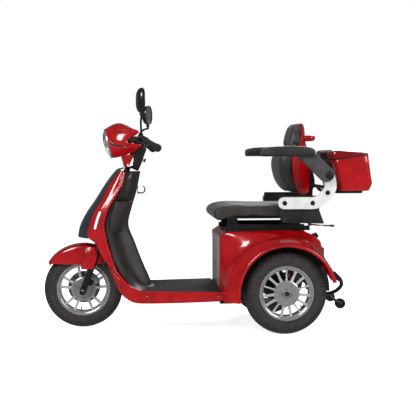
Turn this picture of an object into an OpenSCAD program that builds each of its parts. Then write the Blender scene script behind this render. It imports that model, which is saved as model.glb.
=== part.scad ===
// Three-wheeled mobility scooter, built from separate pieces on a steel frame.
// X runs from the front (-) to the rear (+), Y is the width with the rider's left at -Y, Z is up from the ground.
// Side outlines are drawn from the front axle: X rearwards from it, Z above the ground.

/* [Wheels] */
// Distance between front and rear axles
wheelbase = 1027; // [1020:1:1035]
// Outside diameter of the front tyre
front_tyre_d = 410; // [404:1:412]
// Outside diameter of the rear tyres
rear_tyre_d = 424; // [418:1:426]
// Width of the front tyre
front_tyre_w = 84; // [76:1:86]
// Width of each rear tyre
rear_tyre_w = 90; // [82:1:92]
// Distance from the centre line to the middle of each rear wheel
rear_wheel_y = 301; // [298:1:303]

/* [Steering] */
// Angle of the steering axis back from vertical
rake = 20.3; // [20:0.1:20.6]
// Distance from the centre line to each fork leg
leg_y = 90; // [89:1:92]
// Radius of the steerer tube
steerer_r = 15; // [14:0.5:15]
// Radius of the fixed fork tubes
stanchion_r = 13; // [12:0.5:13.5]
// Gap round every shaft that turns or slides
running_gap = 0.06; // [0.03:0.01:0.09]

/* [Body] */
// Overall width over the rear mudguards
body_w = 740; // [736:1:744]
// Thickness of the moulded panels
panel_t = 3; // [2.5:0.5:4]
// Width of the seat cushion
seat_w = 444; // [430:2:446]
// Distance from the centre line to the middle of each armrest
arm_y = 282; // [280:1:288]

/* [Hidden] */
$fn = 48;

front_axle_x = -650;
front_r = front_tyre_d / 2;
rear_r = rear_tyre_d / 2;
bead_r = 130;
flange_r = 140;
red = "firebrick";
black = "#2b2b2d";
steel = "#35363a";
alloy = "silver";

// Points along the raked steering axis, measured up from the front hub
crown_s = 318;
head_low_s = 375;
head_high_s = 600;
cover_low_s = 681;
bar_s = 831;

// The grip line on the left: where the grip starts, and its outward, rearward and upward directions
grip_start = [312, -212, 985];
grip_out = [0.487, -0.82, -0.3] / norm([0.487, -0.82, -0.3]);
grip_back = [0.82, 0.487, 0] / norm([0.82, 0.487, 0]);
grip_up = cross(grip_out, grip_back);
grip_len = 148;
bar_r = 11;
grip_r = 17;

// The rear axle's trailing arms swing about this point
swing_x = 800;
swing_z = 190;
shock_x = 1072;
shock_y = 180;

// The armrests turn about this point
pivot_x = 1254;
pivot_z = 805;
bracket_y = 246;
bracket_t = 16;

// ---------- shared shapes ----------

module from_axle() translate([front_axle_x, 0, 0]) children();

module both_sides() {
    children();
    mirror([0, 1, 0]) children();
}

module on_steering_axis() translate([0, 0, front_r]) rotate([0, rake, 0]) children();

// Frame of the left grip: X outwards along it, Y towards the rider, Z up
module on_left_grip() multmatrix([
    [grip_out.x, grip_back.x, grip_up.x, grip_start.x],
    [grip_out.y, grip_back.y, grip_up.y, grip_start.y],
    [grip_out.z, grip_back.z, grip_up.z, grip_start.z],
    [0, 0, 0, 1]
]) children();

// A round bar from one point to another
module rod(from, to, r) {
    d = to - from;
    translate(from) rotate([0, acos(d.z / norm(d)), atan2(d.y, d.x)]) cylinder(h = norm(d), r = r);
}

// A bent round tube through a list of points, with a weld bead at each bend
bead = 0.6;
module tube(points, r) {
    for (i = [0 : len(points) - 2]) rod(points[i], points[i + 1], r);
    for (i = [1 : 1 : len(points) - 2]) translate(points[i]) sphere(r = r + bead);
}

// A side outline (X, Z) made into a slab from y0 to y1
module slab(y0, y1) translate([0, y1, 0]) rotate([90, 0, 0]) linear_extrude(y1 - y0) children();

// Points on an arc, from one angle to another
function arc(centre, r, from, to, steps = 20) = [for (i = [0 : steps])
    let (a = from + (to - from) * i / steps) centre + r * [cos(a), sin(a)]];

function heading(from, to) = atan2(to.y - from.y, to.x - from.x);

// The edge on the left of a path, with the outside of each bend rounded and the inside mitred
function band_edge(path, r) = [for (i = [1 : 1 : len(path) - 2])
    let (a = heading(path[i - 1], path[i]), turn = (heading(path[i], path[i + 1]) - a + 540) % 360 - 180)
        each turn < 0 ? arc(path[i], r, a + 90, a + 90 + turn, 6)
            : [path[i] + r / cos(turn / 2) * [cos(a + 90 + turn / 2), sin(a + 90 + turn / 2)]]];

function band_cap(path, r) = let (n = len(path), a = heading(path[n - 2], path[n - 1]))
    arc(path[n - 1], r, a + 90, a - 90);

function backwards(path) = [for (i = [len(path) - 1 : -1 : 0]) path[i]];

// A flat band of even width with round ends, along a path of a side outline
module band(path, r) {
    back = backwards(path);
    polygon(concat(band_edge(path, r), band_cap(path, r), band_edge(back, r), band_cap(back, r)));
}

module link(p, q, r) band([p, q], r);

// A section (distance from the axis, along the axis) turned round a crosswise axle
module turned(x, z) translate([x, 0, z]) rotate([90, 0, 0]) rotate_extrude($fn = 96) children();

// A box given by its lowest and highest corners
module block(low, high) translate(low) cube(high - low);

// A closed skin between two matching grids of points
module skin(outer, inner) {
    rows = len(outer);
    cols = len(outer[0]);
    count = rows * cols;
    points = concat([for (r = outer, p = r) p], [for (r = inner, p = r) p]);
    quads = concat(
        [for (r = [0 : rows - 2], c = [0 : cols - 2])
            let (a = r * cols + c) [a, a + 1, a + cols + 1, a + cols]],
        [for (r = [0 : rows - 2], c = [0 : cols - 2])
            let (a = count + r * cols + c) [a, a + cols, a + cols + 1, a + 1]],
        [for (c = [0 : cols - 2]) [c, c + count, c + count + 1, c + 1]],
        [for (c = [0 : cols - 2]) let (a = (rows - 1) * cols + c) [a, a + 1, a + count + 1, a + count]],
        [for (r = [0 : rows - 2]) let (a = r * cols) [a, a + cols, a + cols + count, a + count]],
        [for (r = [0 : rows - 2]) let (a = r * cols + cols - 1) [a, a + count, a + cols + count, a + cols]]
    );
    polyhedron(points, [for (q = quads, t = [[q[0], q[1], q[2]], [q[0], q[2], q[3]]]) t]);
}

// The same grid of points moved towards a point by the panel thickness
function towards(grid, centre, t) =
    [for (row = grid) [for (p = row) let (d = centre - p) p + t * d / norm(d)]];

// ---------- frame and fixed body ----------

module main_frame() color(steel) from_axle() {
    rail_y = 90;
    difference() {
        union() {
            on_steering_axis() translate([0, 0, head_low_s]) cylinder(h = head_high_s - head_low_s, r = 24);
            tube([[168, 0, 650], [204, 0, 560], [270, 0, 195]], 18);
        }
        on_steering_axis() translate([0, 0, head_low_s - 1])
            cylinder(h = head_high_s - head_low_s + 2, r = 20);
    }
    both_sides() block([300, -rail_y - 15, 160], [840, -rail_y + 15, 190]);
    for (x = [300, 430, 560, 700]) block([x, -rail_y, 162], [x + 30, rail_y, 188]);
    block([256, -24, 160], [302, 24, 205]);
    // Seat tower: front posts, top rails and rear posts
    both_sides() {
        block([732, -170, 190], [755, -145, 493]);
        block([732, -170, 165], [755, -rail_y, 190]);
        block([732, -170, 470], [1190, -145, 493]);
        block([1165, -170, 228], [1190, -145, 470]);
    }
    block([1165, -145, 228], [1190, 145, 250]);
    block([732, -145, 474], [755, 145, 493]);
    block([950, -145, 474], [975, 145, 493]);
    // Pins that the trailing arms turn on, and the seats that the shock springs push against
    both_sides() {
        rod([swing_x, -160, swing_z], [swing_x, -90, swing_z], 8);
        block([swing_x - 14, -108, swing_z - 24], [swing_x + 14, -98, swing_z + 14]);
        rod([shock_x, -shock_y, 438], [shock_x, -shock_y, 472], 15);
        block([shock_x - 32, -shock_y - 32, 470], [shock_x + 32, -150, 476]);
    }
}

module head_bearings() color(alloy) from_axle() on_steering_axis()
    for (s = [head_low_s, head_high_s - 12]) translate([0, 0, s]) difference() {
        cylinder(h = 12, r = 20);
        translate([0, 0, -1]) cylinder(h = 14, r = steerer_r + running_gap);
    }

// Plan of the foot platform, narrower at the front
function platform(inset) = [
    [292 + inset, -192 + inset], [705 - inset, -252 + inset], [705 - inset, 252 - inset], [292 + inset, 192 - inset]
];

module floor_skirt() color(red) from_axle() difference() {
    union() {
        translate([0, 0, 147]) linear_extrude(66) polygon(platform(0));
        // The nose that closes the front of the platform behind the wheel
        slab(-184, 184) polygon([[294, 147], [294, 213], [270, 180], [262, 158]]);
    }
    translate([0, 0, 146]) linear_extrude(64) polygon(platform(panel_t));
    slab(-181, 181) polygon([[296, 140], [296, 206], [273, 179], [265, 140]]);
    // Room for the down tube in the nose, and for the frame rails at the rear
    block([240, -25, 140], [300, 25, 220]);
    block([700, -107, 140], [710, 107, 192]);
}

module floor_mat() color(black) from_axle() {
    translate([0, 0, 213]) linear_extrude(4) polygon(platform(8));
    for (y = [-160 : 16 : 160]) block([330, y - 4, 217], [690, y + 4, 220]);
}

shield_rows = [
    // z, x at the outer edge, half width at the edge, x at the spine, half width of the spine
    [806, 222, 116, 294, 62], [721, 192, 146, 279, 66], [630, 136, 162, 254, 68],
    [540, 116, 172, 236, 68], [450, 134, 176, 268, 66], [350, 164, 178, 306, 64], [245, 238, 187, 345, 62]
];
function shield_line(t) = [for (r = shield_rows) [
    [r[1] - t, -r[2] + t, r[0]], [(r[1] + r[3]) / 2 - t, -r[4] - 22 + t, r[0]], [r[3] - t, -r[4] * 0.6, r[0]],
    [r[3] - t, r[4] * 0.6, r[0]], [(r[1] + r[3]) / 2 - t, r[4] + 22 - t, r[0]], [r[1] - t, r[2] - t, r[0]]
]];

module legshield() color(black) from_axle() {
    skin(shield_line(0), shield_line(panel_t));
    // Open-topped pockets on both sides of the spine
    both_sides() difference() {
        translate([0, 0, 542]) linear_extrude(122)
            polygon([[132, -152], [236, -134], [262, -114], [262, -72], [200, -72]]);
        translate([0, 0, 545]) linear_extrude(122)
            polygon([[204, -126], [233, -129], [259, -111], [259, -75], [216, -75]]);
        translate([0, 0, 541]) linear_extrude(6)
            polygon([[100, -145], [204, -126], [216, -75], [150, -70]]);
        translate([0, 0, 545]) linear_extrude(122)
            polygon([[100, -148], [204, -131], [204, -126], [216, -75], [150, -75]]);
    }
}

module bag_hook() color(alloy) from_axle() {
    block([285, -14, 704], [288, 14, 744]);
    tube([[286, 0, 712], [316, 0, 710], [326, 0, 722], [320, 0, 742]], 4);
}

panel_rows = [
    // front edge x, half width, z, then rear edge x, half width, z
    [192, 102, 828, 220, 120, 816], [144, 114, 762, 206, 140, 755], [97, 122, 677, 174, 154, 700],
    [58, 128, 610, 134, 165, 632], [32, 132, 544, 112, 174, 548], [30, 134, 487, 128, 179, 462],
    [95, 152, 393, 150, 181, 376], [146, 164, 306, 184, 184, 300], [206, 176, 192, 234, 190, 240],
    [254, 190, 153, 291, 192, 213]
];
function panel_grid(inset) = [for (r = panel_rows) [
    [r[0], -r[1] + inset, r[2]],
    [(r[0] + r[3]) / 2 - 4, -(r[1] + r[4]) / 2 - 10 + inset, (r[2] + r[5]) / 2],
    [r[3], -r[4] - 2 + inset, r[5]]
]];

module side_panels() color(red) from_axle() both_sides() skin(panel_grid(0), panel_grid(panel_t));

// How far the centre panel stands ahead of the side panels, from its top row down
panel_lead = [19, 24, 31, 38, 46, 55];
function centre_grid(t) = [for (i = [0 : 5]) let (x = panel_rows[i][0] + t, w = panel_rows[i][1] - 4.5) [
    for (share = [-1, -0.55, 0, 0.55, 1])
        [x - panel_lead[i] * (1 - pow(abs(share), 2)), w * share, panel_rows[i][2]]
]];

module centre_panel() color("#1b2230") from_axle() skin(centre_grid(0), centre_grid(panel_t));

module front_markers() color("gainsboro") from_axle() both_sides() {
    // Light strip and reflector on each side panel
    slab(-169, -165.4) link([88, 610], [64, 540], 7);
    slab(-195, -191.4) link([176, 300], [204, 250], 7);
}

module wheel_arch(r, y0, y1) slab(y0, y1) translate([wheelbase, rear_r]) circle(r, $fn = 96);

// Outer form of the rear body, made smaller by the inset for its inside
module rear_form(inset) {
    half = body_w / 2;
    hull() {
        block([706 + inset, -192 + inset, 150], [716, 192 - inset, 500 - inset]);
        block([740, -222 + inset, 160], [1200 - inset, 222 - inset, 516 - inset]);
        block([1180, -222 + inset, 205], [1236 - inset, 222 - inset, 470 - inset]);
    }
    // Each mudguard flares out from the body over its wheel
    both_sides() hull() {
        slab(-half + inset, -half + inset + 8) translate([1024, rear_r]) intersection() {
            circle(255 - inset, $fn = 48);
            translate([-300, -45]) square([600, 400]);
        }
        block([712 + inset, -275 + inset, 168], [720, -200, 215]);
        block([745 + inset, -222 + inset, 160], [1190, -200, 508 - inset]);
    }
}

module rear_body() color(red) from_axle() difference() {
    rear_form(0);
    difference() {
        rear_form(panel_t + 1);
        // The mudguard lips keep an inward edge round the arch
        both_sides() wheel_arch(246, -body_w / 2, -352);
    }
    both_sides() wheel_arch(240, -body_w / 2 - 1, -226);
    block([700, -240, 140], [1240, 240, 209]);
    block([690, -400, 100], [790, 400, 168]);
    block([1100, -400, 100], [1300, 400, 255]);
    block([704, -150, 222], [715, 150, 480]);
}

module seatbox_cover() color("#d9cfcd") from_axle() {
    difference() {
        block([703, -170, 216], [706, 170, 492]);
        translate([702, 0, 330]) rotate([0, 90, 0]) cylinder(h = 6, r = 9);
    }
    translate([700, 0, 330]) rotate([0, 90, 0]) cylinder(h = 14, r = 8.9);
}

module battery_and_controller() color(steel) from_axle() {
    for (y = [-134, -44, 46]) block([760, y, 226], [862, y + 86, 440]);
    block([985, -80, 426], [1140, 80, 462]);
}

module underbody() color(black) from_axle() {
    // Wheel arch liners
    both_sides() difference() {
        wheel_arch(245.5, -340, -226);
        wheel_arch(242.5, -352, -225);
        block([700, -400, -100], [1300, 0, 262]);
        block([1180, -400, 200], [1300, 0, 500]);
    }
    // Belly plate under the battery
    block([655, -86, 142], [845, 86, 146]);
    both_sides() block([706, -200, 142], [770, -106, 160]);
}

module tail_lights() color("darkred") from_axle() both_sides()
    block([1236.3, -212, 380], [1247, -130, 430]);

module rear_bumper() color(black) from_axle() {
    tube([[1197, -158, 240], [1269, -170, 184], [1330, -200, 214], [1340, -200, 250], [1340, 200, 250],
        [1330, 200, 214], [1269, 170, 184], [1197, 158, 240]], 10);
    both_sides() {
        rod([1338, -196, 252], [1300, -205, 298], 8);
        // Arm that carries the anti-tip wheel on a stub axle
        rod([1269, -138, 184], [1355, -138, 121], 8);
        rod([1269, -168, 184], [1269, -130, 184], 7);
        rod([1355, -138, 121], [1355, -102, 121], 5);
    }
}

module seat_rails() color(steel) from_axle() {
    both_sides() {
        block([735, -165, 516.3], [1180, -135, 522]);
        block([735, -158, 522], [1180, -142, 540]);
    }
    for (x = [745, 950, 1150]) block([x, -135, 516.3], [x + 25, 135, 520]);
}

// ---------- steering ----------

module fork_upper() color(steel) from_axle() on_steering_axis() {
    both_sides() translate([0, leg_y, 70]) cylinder(h = crown_s - 60, r = stanchion_r);
    translate([-24, -leg_y - 18, crown_s]) cube([48, 2 * leg_y + 36, 24]);
    translate([0, 0, crown_s + 10]) cylinder(h = bar_s - crown_s - 25, r = steerer_r);
    translate([0, 0, head_low_s - 6]) cylinder(h = 6 - 0.3, r = 19);
    translate([0, 0, head_high_s + 0.3]) cylinder(h = 10, r = 22);
}

module handlebar() color(steel) from_axle() {
    centre = [288.5, 0, 985];
    both_sides() {
        tube([centre, [300, -120, 992], grip_start], bar_r);
        translate(grip_start) sphere(r = bar_r + bead);
        on_left_grip() rotate([0, 90, 0]) cylinder(h = grip_len - 8, r = bar_r);
    }
    // Clamp that holds the bar on the steerer
    on_steering_axis() translate([0, 0, bar_s - 14.9]) cylinder(h = 32, r = 24);
}

module grip_sleeve(bore) rotate([0, 90, 0]) translate([0, 0, 22]) difference() {
    union() {
        cylinder(h = grip_len - 22, r = grip_r - 1);
        cylinder(h = 5, r = grip_r + 4);
        for (s = [12 : 10 : grip_len - 34]) translate([0, 0, s]) cylinder(h = 5, r = grip_r);
        translate([0, 0, grip_len - 28]) cylinder(h = 6, r = grip_r + 3);
    }
    translate([0, 0, -1]) cylinder(h = grip_len - 24.5, r = bore);
}

module left_grip() color(black) from_axle() on_left_grip() grip_sleeve(bar_r);

module throttle_grip() color(black) from_axle() mirror([0, 1, 0]) on_left_grip()
    grip_sleeve(bar_r + running_gap);

pod_in = [304, -152, 989.6];
pod_out = [311, -205, 985.5];

lever_pivot = [-8, -34, 0];
button_spot = [305, -165, 1004];

module control_pods() color(black) from_axle() both_sides() {
    difference() {
        union() {
            rod(pod_in, pod_out, 21);
            // Ears that hold the lever pivot
            on_left_grip() block([-22, -44, -12], [6, -12, 12]);
        }
        tube([[288.5, 0, 985], [300, -120, 992], grip_start], bar_r);
        translate(grip_start) sphere(r = bar_r + bead);
        on_left_grip() rotate([0, 90, 0]) translate([0, 0, -2]) cylinder(h = 20, r = bar_r);
        on_left_grip() block([-24, -50, -5.3], [8, -20, 5.3]);
        // Recess for the horn button
        translate(button_spot - [0, 0, 4]) cylinder(h = 30, r = 6 + running_gap);
    }
    // Pivot pin of the brake lever
    on_left_grip() translate(lever_pivot - [0, 0, 11]) cylinder(h = 22, r = 3);
}

module brake_lever() difference() {
    union() {
        translate([0, 0, -5]) linear_extrude(10) {
            link([lever_pivot.x, lever_pivot.y], [24, -48], 7);
            link([24, -48], [118, -50], 5.5);
            translate([118, -50]) circle(8);
        }
    }
    translate(lever_pivot - [0, 0, 6]) cylinder(h = 12, r = 3 + running_gap);
}

module brake_lever_left() color(steel) from_axle() on_left_grip() brake_lever();
module brake_lever_right() color(steel) from_axle() mirror([0, 1, 0]) on_left_grip() brake_lever();

module horn_button() color("wheat") from_axle() translate(button_spot) cylinder(h = 11, r = 6);

module ignition_key() color(alloy) from_axle() on_steering_axis() {
    // Lock barrel end and key bow on the rider's side of the column
    translate([52.5, 0, 745]) rotate([0, 90, 0]) cylinder(h = 9, r = 8);
    translate([61.5, -1.2, 734]) cube([14, 2.4, 22]);
}

// Where each mirror's ball joint sits; the right mirror is set lower and further back
left_ball = [302, -266, 1129];
right_ball = [350, 268, 1086];
ball_r = 11;

// A stem from the control pod up to the socket under the ball
module mirror_stem(foot, ball) {
    tube([foot, foot + [0, 0, 17], ball - [0, 0, 38], ball - [0, 0, 17]], 6);
    translate([foot.x, foot.y, 1008.6]) cylinder(h = 8, r = 9);
    translate(ball - [0, 0, 24]) cylinder(h = 13.7, r = 9);
}

module mirror_stems() color(black) from_axle() {
    mirror_stem([303, -192, 1013], left_ball);
    mirror_stem([303, 192, 1013], right_ball);
}

// An oval mirror head behind its ball, facing the rear
module mirror_head(width, height, lift) {
    translate([0, 0, lift]) rotate([90, 0, 90]) {
        linear_extrude(8) scale([width / height, 1]) circle(d = height);
        translate([0, 0, -22]) hull() {
            linear_extrude(2) scale([width / height, 1]) circle(d = height * 0.55);
            translate([0, 0, 20]) linear_extrude(2) scale([width / height, 1]) circle(d = height * 0.98);
        }
    }
    sphere(r = ball_r);
}

// The head is cut clear of its socket, so that it can turn on the ball
module mirror_on(ball, width, height, lift) translate(ball) difference() {
    mirror_head(width, height, lift);
    translate([0, 0, -60]) cylinder(h = 50, r = 9.6);
}

module mirror_left() color(black) from_axle() mirror_on(left_ball, 92, 128, 50);
module mirror_right() color(black) from_axle() mirror_on(right_ball, 118, 108, 42);

// A lamp axis that points forward and slightly down
module on_lamp_axis() translate([133, 0, 968]) rotate([0, -104, 0]) children();

module nacelle() color(red) from_axle() difference() {
    hull() {
        on_lamp_axis() translate([0, 0, -14]) cylinder(h = 14, r = 78);
        block([200, -84, 1020], [262, 84, 1058]);
        block([200, -70, 906], [262, 70, 960]);
        block([250, -112, 962], [300, 112, 1030]);
    }
    hull() {
        on_lamp_axis() translate([0, 0, -14]) cylinder(h = 15, r = 73);
        block([200, -80, 1020], [270, 80, 1054]);
        block([200, -66, 910], [270, 66, 960]);
        block([250, -108, 966], [310, 108, 1026]);
    }
    // Mouths on both sides and the rear for the handlebar, and the column below
    block([258, -130, 964], [320, 130, 1028]);
    block([255, -54, 900], [320, 54, 970]);
    on_steering_axis() translate([0, 0, cover_low_s + 10]) cylinder(h = 180, r = 40);
    block([200, -70, 1050], [262, 70, 1062]);
}

module headlamp_lens() color("whitesmoke") from_axle() on_lamp_axis() difference() {
    translate([0, 0, -88.5]) sphere(r = 115, $fn = 96);
    translate([0, 0, -88.5]) sphere(r = 112, $fn = 96);
    translate([-150, -150, -240]) cube([300, 300, 240.5]);
}

module headlamp_reflector() color(alloy) from_axle() on_lamp_axis() difference() {
    union() {
        translate([0, 0, -13]) cylinder(h = 13.3, r = 72.5);
        translate([0, 0, -40]) cylinder(h = 27, r1 = 24, r2 = 66);
    }
    translate([0, 0, -36]) cylinder(h = 36.6, r1 = 18, r2 = 66);
}

module dash_panel() color(black) from_axle() {
    slab(-69, 69) polygon([[201, 1051], [201, 1060], [216, 1063], [258, 1044], [256, 1038.5], [230, 1051]]);
}

module neck_cover() color(red) from_axle() difference() {
    slab(-46, 46) polygon([[212, 852], [236, 843], [259, 898], [201, 898]]);
    slab(-43, 43) polygon([[215, 840], [240, 830], [290, 920], [203, 920]]);
}

module column_cover() color(black) from_axle() difference() {
    slab(-50, 50) polygon([[236.2, 842.8], [290, 824], [336, 940], [318, 964], [263, 964], [263, 905]]);
    slab(-46, 46) polygon([[230, 820], [286, 810], [332, 941], [318, 970], [200, 970], [200, 905]]);
    on_steering_axis() translate([40, 0, 745]) rotate([0, 90, 0]) cylinder(h = 30, r = 8.06);
}

// ---------- front fork and wheel ----------

module fork_lowers() color(black) from_axle() {
    both_sides() on_steering_axis() difference() {
        union() {
            translate([0, leg_y, -18]) cylinder(h = 240, r = 17);
            translate([0, leg_y, 200]) cylinder(h = 26, r = 16.5);
        }
        translate([0, leg_y, 40]) cylinder(h = 200, r = stanchion_r + running_gap);
    }
    rod([0, -leg_y - 20, front_r], [0, leg_y + 20, front_r], 6);
}

module front_fender() color(red) from_axle() {
    translate([0, 0, front_r]) rotate([90, 0, 0]) rotate([0, 0, 56]) rotate_extrude(angle = 86, $fn = 96)
        difference() {
            union() {
                translate([150, -71]) square([72, 142]);
                translate([221, -56]) square([18, 112]);
            }
            translate([140, -68]) square([79, 136]);
            translate([210, -54]) square([26, 108]);
        }
}

module brake_caliper() color(steel) from_axle() {
    difference() {
        translate([0, -66, front_r]) rotate([-90, 0, 0]) rotate([0, 0, -68]) rotate_extrude(angle = 46)
            translate([56, 0]) square([44, 22]);
        turned(0, front_r) translate([0, 49]) square([87, 6]);
    }
    // Bracket from the leg, and the brake hose clipped up the leg
    block([14, -72.6, front_r + 24], [50, -66, front_r + 46]);
    tube([[70, -60, front_r + 74], [100, -74, front_r + 96], [104, -92, front_r + 130],
        [118, -92, front_r + 160]], 3.5);
}

// Tyre section: a round carcass that narrows to two beads, open towards the rim
tyre_wall = 9;
module tyre_section(r, w) {
    half = w / 2;
    bead_y = half - 6;
    polygon(concat(
        [[bead_r, -bead_y]], arc([r - half, 0], half, -130, 130), [[bead_r, bead_y], [bead_r, bead_y - tyre_wall]],
        arc([r - half, 0], half - tyre_wall, 125, -125), [[bead_r, tyre_wall - bead_y]]
    ));
}

// Rim barrel with flanges outside the tyre beads
module rim_section(w) {
    half = w / 2 - 5.7;
    translate([bead_r - 7, -half - 3]) square([7, 2 * half + 6]);
    for (side = [-half - 3, half]) translate([bead_r - 7, side]) square([flange_r - bead_r + 7, 3]);
}

module front_tyre() color(black) from_axle() turned(0, front_r) tyre_section(front_r, front_tyre_w);

// Rim with a pierced cast disc and a hub bored for its axle
module wheel_rim(r, w, hub_r, hub_from, hub_to, bore, spokes, disc_from, disc_to) difference() {
    union() {
        rotate([90, 0, 0]) rotate_extrude($fn = 96) {
            rim_section(w);
            translate([hub_r - 2, disc_from]) square([bead_r - hub_r, disc_to - disc_from]);
        }
        rotate([90, 0, 0]) translate([0, 0, hub_from]) cylinder(h = hub_to - hub_from, r = hub_r);
    }
    rotate([90, 0, 0]) translate([0, 0, hub_from - 1]) cylinder(h = hub_to - hub_from + 2, r = bore);
    for (i = [0 : spokes - 1]) rotate([0, i * 360 / spokes, 0]) slab(-60, 60) link([80, 0], [104, 0], 11);
}

module front_rim() color(alloy) from_axle() translate([0, 0, front_r])
    wheel_rim(front_r, front_tyre_w, 36, -44, 50, 6 + running_gap, 10, -8, 8);

module brake_disc() color(alloy) from_axle() turned(0, front_r) translate([20, 50]) square([65, 4]);

// ---------- rear axle and wheels ----------

module rear_axle() color(steel) from_axle() {
    difference() {
        union() {
            rod([wheelbase, -236, rear_r], [wheelbase, 236, rear_r], 22);
            rod([wheelbase, -350, rear_r], [wheelbase, 350, rear_r], 12);
            both_sides() {
                slab(-150, -120) link([swing_x, swing_z], [wheelbase, rear_r], 16);
                block([wheelbase, -shock_y - 24, rear_r - 10], [shock_x + 26, -shock_y + 24, rear_r + 12]);
            }
        }
        both_sides() rod([swing_x, -200, swing_z], [swing_x, -80, swing_z], 8 + running_gap);
    }
    // Spigots that the shock springs sit over
    both_sides() translate([shock_x, -shock_y, rear_r + 10]) cylinder(h = 26, r = 15);
}

module drive_motor() color(steel) from_axle() difference() {
    union() {
        rod([wheelbase, -50, rear_r], [wheelbase, 50, rear_r], 78);
        rod([925, -74, rear_r + 6], [925, 74, rear_r + 6], 52);
        block([925, -40, rear_r - 30], [wheelbase, 40, rear_r + 50]);
    }
    rod([wheelbase, -60, rear_r], [wheelbase, 60, rear_r], 22);
}

// A coil spring as one swept tube, with a point on its wire given by steps round the coil and round the wire
coil_steps = 14;
wire_sides = 6;
function coil_point(r, wire, rise, i, k) = let (
    a = i * 360 / coil_steps, b = k * 360 / wire_sides, q = r + wire * cos(b)
) [q * cos(a), q * sin(a), rise * i + wire * sin(b)];

module coil(r, wire, height, turns) {
    steps = coil_steps * turns;
    sides = wire_sides;
    points = [for (i = [0 : steps], k = [0 : sides - 1]) coil_point(r, wire, height / steps, i, k)];
    walls = [for (i = [0 : steps - 1], k = [0 : sides - 1]) let (
        a = i * sides + k, b = i * sides + (k + 1) % sides
    ) each [[a, a + sides, b + sides], [a, b + sides, b]]];
    ends = [[for (k = [0 : sides - 1]) k], [for (k = [sides - 1 : -1 : 0]) steps * sides + k]];
    polyhedron(points, concat(walls, ends));
}

module shock_springs() color("red") from_axle() both_sides()
    translate([shock_x, -shock_y, rear_r + 17]) coil(27, 3.5, 237, 8);

module rear_tyre() turned(wheelbase, rear_r) tyre_section(rear_r, rear_tyre_w);
module rear_rim() translate([wheelbase, 0, rear_r])
    wheel_rim(rear_r, rear_tyre_w, 46, -52, 38, 12 + running_gap, 15, 20, 36);

module rear_tyre_left() color(black) from_axle() translate([0, -rear_wheel_y, 0]) rear_tyre();
module rear_tyre_right() color(black) from_axle() translate([0, rear_wheel_y, 0]) rear_tyre();
module rear_rim_left() color(alloy) from_axle() translate([0, -rear_wheel_y, 0]) rear_rim();
module rear_rim_right() color(alloy) from_axle() mirror([0, 1, 0]) translate([0, -rear_wheel_y, 0]) rear_rim();

// ---------- seat ----------

module seat_pan() color(steel) from_axle() {
    both_sides() {
        // Slide runners round the rails
        difference() {
            block([748, -163, 524], [1150, -137, 548]);
            block([740, -158.3, 522], [1160, -141.7, 540.3]);
        }
        block([748, -160, 548], [800, -140, 584]);
        block([1080, -160, 548], [1130, -140, 584]);
        block([1000, -228, 584], [1215, -223.5, 700]);
    }
    block([762, -228, 584], [1215, 228, 589]);
    // Post that carries the backrest, and the pin of the release lever
    block([1206, -50, 586], [1218, 50, 860]);
    translate([1175, -180, 543]) cylinder(h = 42, r = 6);
}

module seat_cushion() color(black) from_axle() slab(-seat_w / 2, seat_w / 2)
    polygon([[672, 570], [654, 580], [648, 600], [654, 624], [684, 641], [740, 650], [797, 653], [1160, 653],
        [1180, 640], [1180, 590], [760, 590], [720, 584]]);

module seat_side_covers() color(black) from_axle() both_sides()
    slab(-245.5, -229) polygon([[1003, 630], [1003, 604], [1021, 562], [1238, 556], [1210, 630]]);

bracket_path = [[1025, 663.5], [1195, 663.5], [1266, 738], [1256, 800]];

module armrest_brackets() color("whitesmoke") from_axle() {
    both_sides() difference() {
        slab(-bracket_y - bracket_t, -bracket_y) band(bracket_path, 31);
        for (p = bolt_spots) rod([p.x, -bracket_y - 30, p.y], [p.x, -bracket_y + 30, p.y], 6.06);
        rod([pivot_x, -bracket_y - 30, pivot_z], [pivot_x, -bracket_y + 30, pivot_z], 8);
    }
    both_sides() rod([pivot_x, -bracket_y - bracket_t - 19, pivot_z], [pivot_x, -bracket_y, pivot_z], 8);
    // Crossbar and rack arms that carry the top box
    rod([1272, -bracket_y, 738], [1272, bracket_y, 738], 10);
    both_sides() {
        tube([[1272, -90, 738], [1300, -90, 713], [1470, -90, 713]], 8);
    }
    rod([1470, -96, 713], [1470, 96, 713], 7);
}

bolt_spots = [[1028, 663.5], [1172, 663.5]];

module bracket_bolts() color(steel) from_axle() both_sides() for (p = bolt_spots) {
    rod([p.x, -bracket_y - bracket_t - 6, p.y], [p.x, -bracket_y - bracket_t, p.y], 10);
    rod([p.x, -bracket_y - bracket_t, p.y], [p.x, -229, p.y], 6);
}

module seat_lever() color(alloy) from_axle() difference() {
    union() {
        translate([0, 0, 545]) linear_extrude(6) band([[1175, -180], [1225, -238], [1290, -242]], 4);
        translate([1175, -180, 542]) cylinder(h = 12, r = 10);
    }
    translate([1175, -180, 541]) cylinder(h = 14, r = 6 + running_gap);
}

module armrest() {
    difference() {
        slab(-arm_y - 8, -bracket_y - bracket_t - 0.4) {
            link([pivot_x, pivot_z], [1228, 848], 34);
            link([1228, 848], [1120, 908], 24);
        }
        rod([pivot_x, -320, pivot_z], [pivot_x, -240, pivot_z], 8 + running_gap);
    }
    slab(-arm_y - 30, -arm_y + 30) {
        translate([901, 906]) square([276, 36]);
        link([1012, 936], [1150, 930], 16);
    }
}

module armrest_left() color(black) from_axle() armrest();
module armrest_right() color(black) from_axle() mirror([0, 1, 0]) armrest();

module backrest_shell() color(red) from_axle() {
    slab(-150, 150) polygon([[1150, 712], [1192, 702], [1205, 712], [1205, 862], [1185, 960], [1176, 968],
        [1140, 968], [1140, 800]]);
    slab(-105, 105) polygon([[1140, 968], [1176, 968], [1172, 1074], [1164, 1076], [1146, 1074]]);
    // Grab handle
    rod([1212, -80, 998], [1212, 80, 998], 18);
    both_sides() rod([1160, -62, 998], [1212, -62, 998], 10);
}

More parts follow.
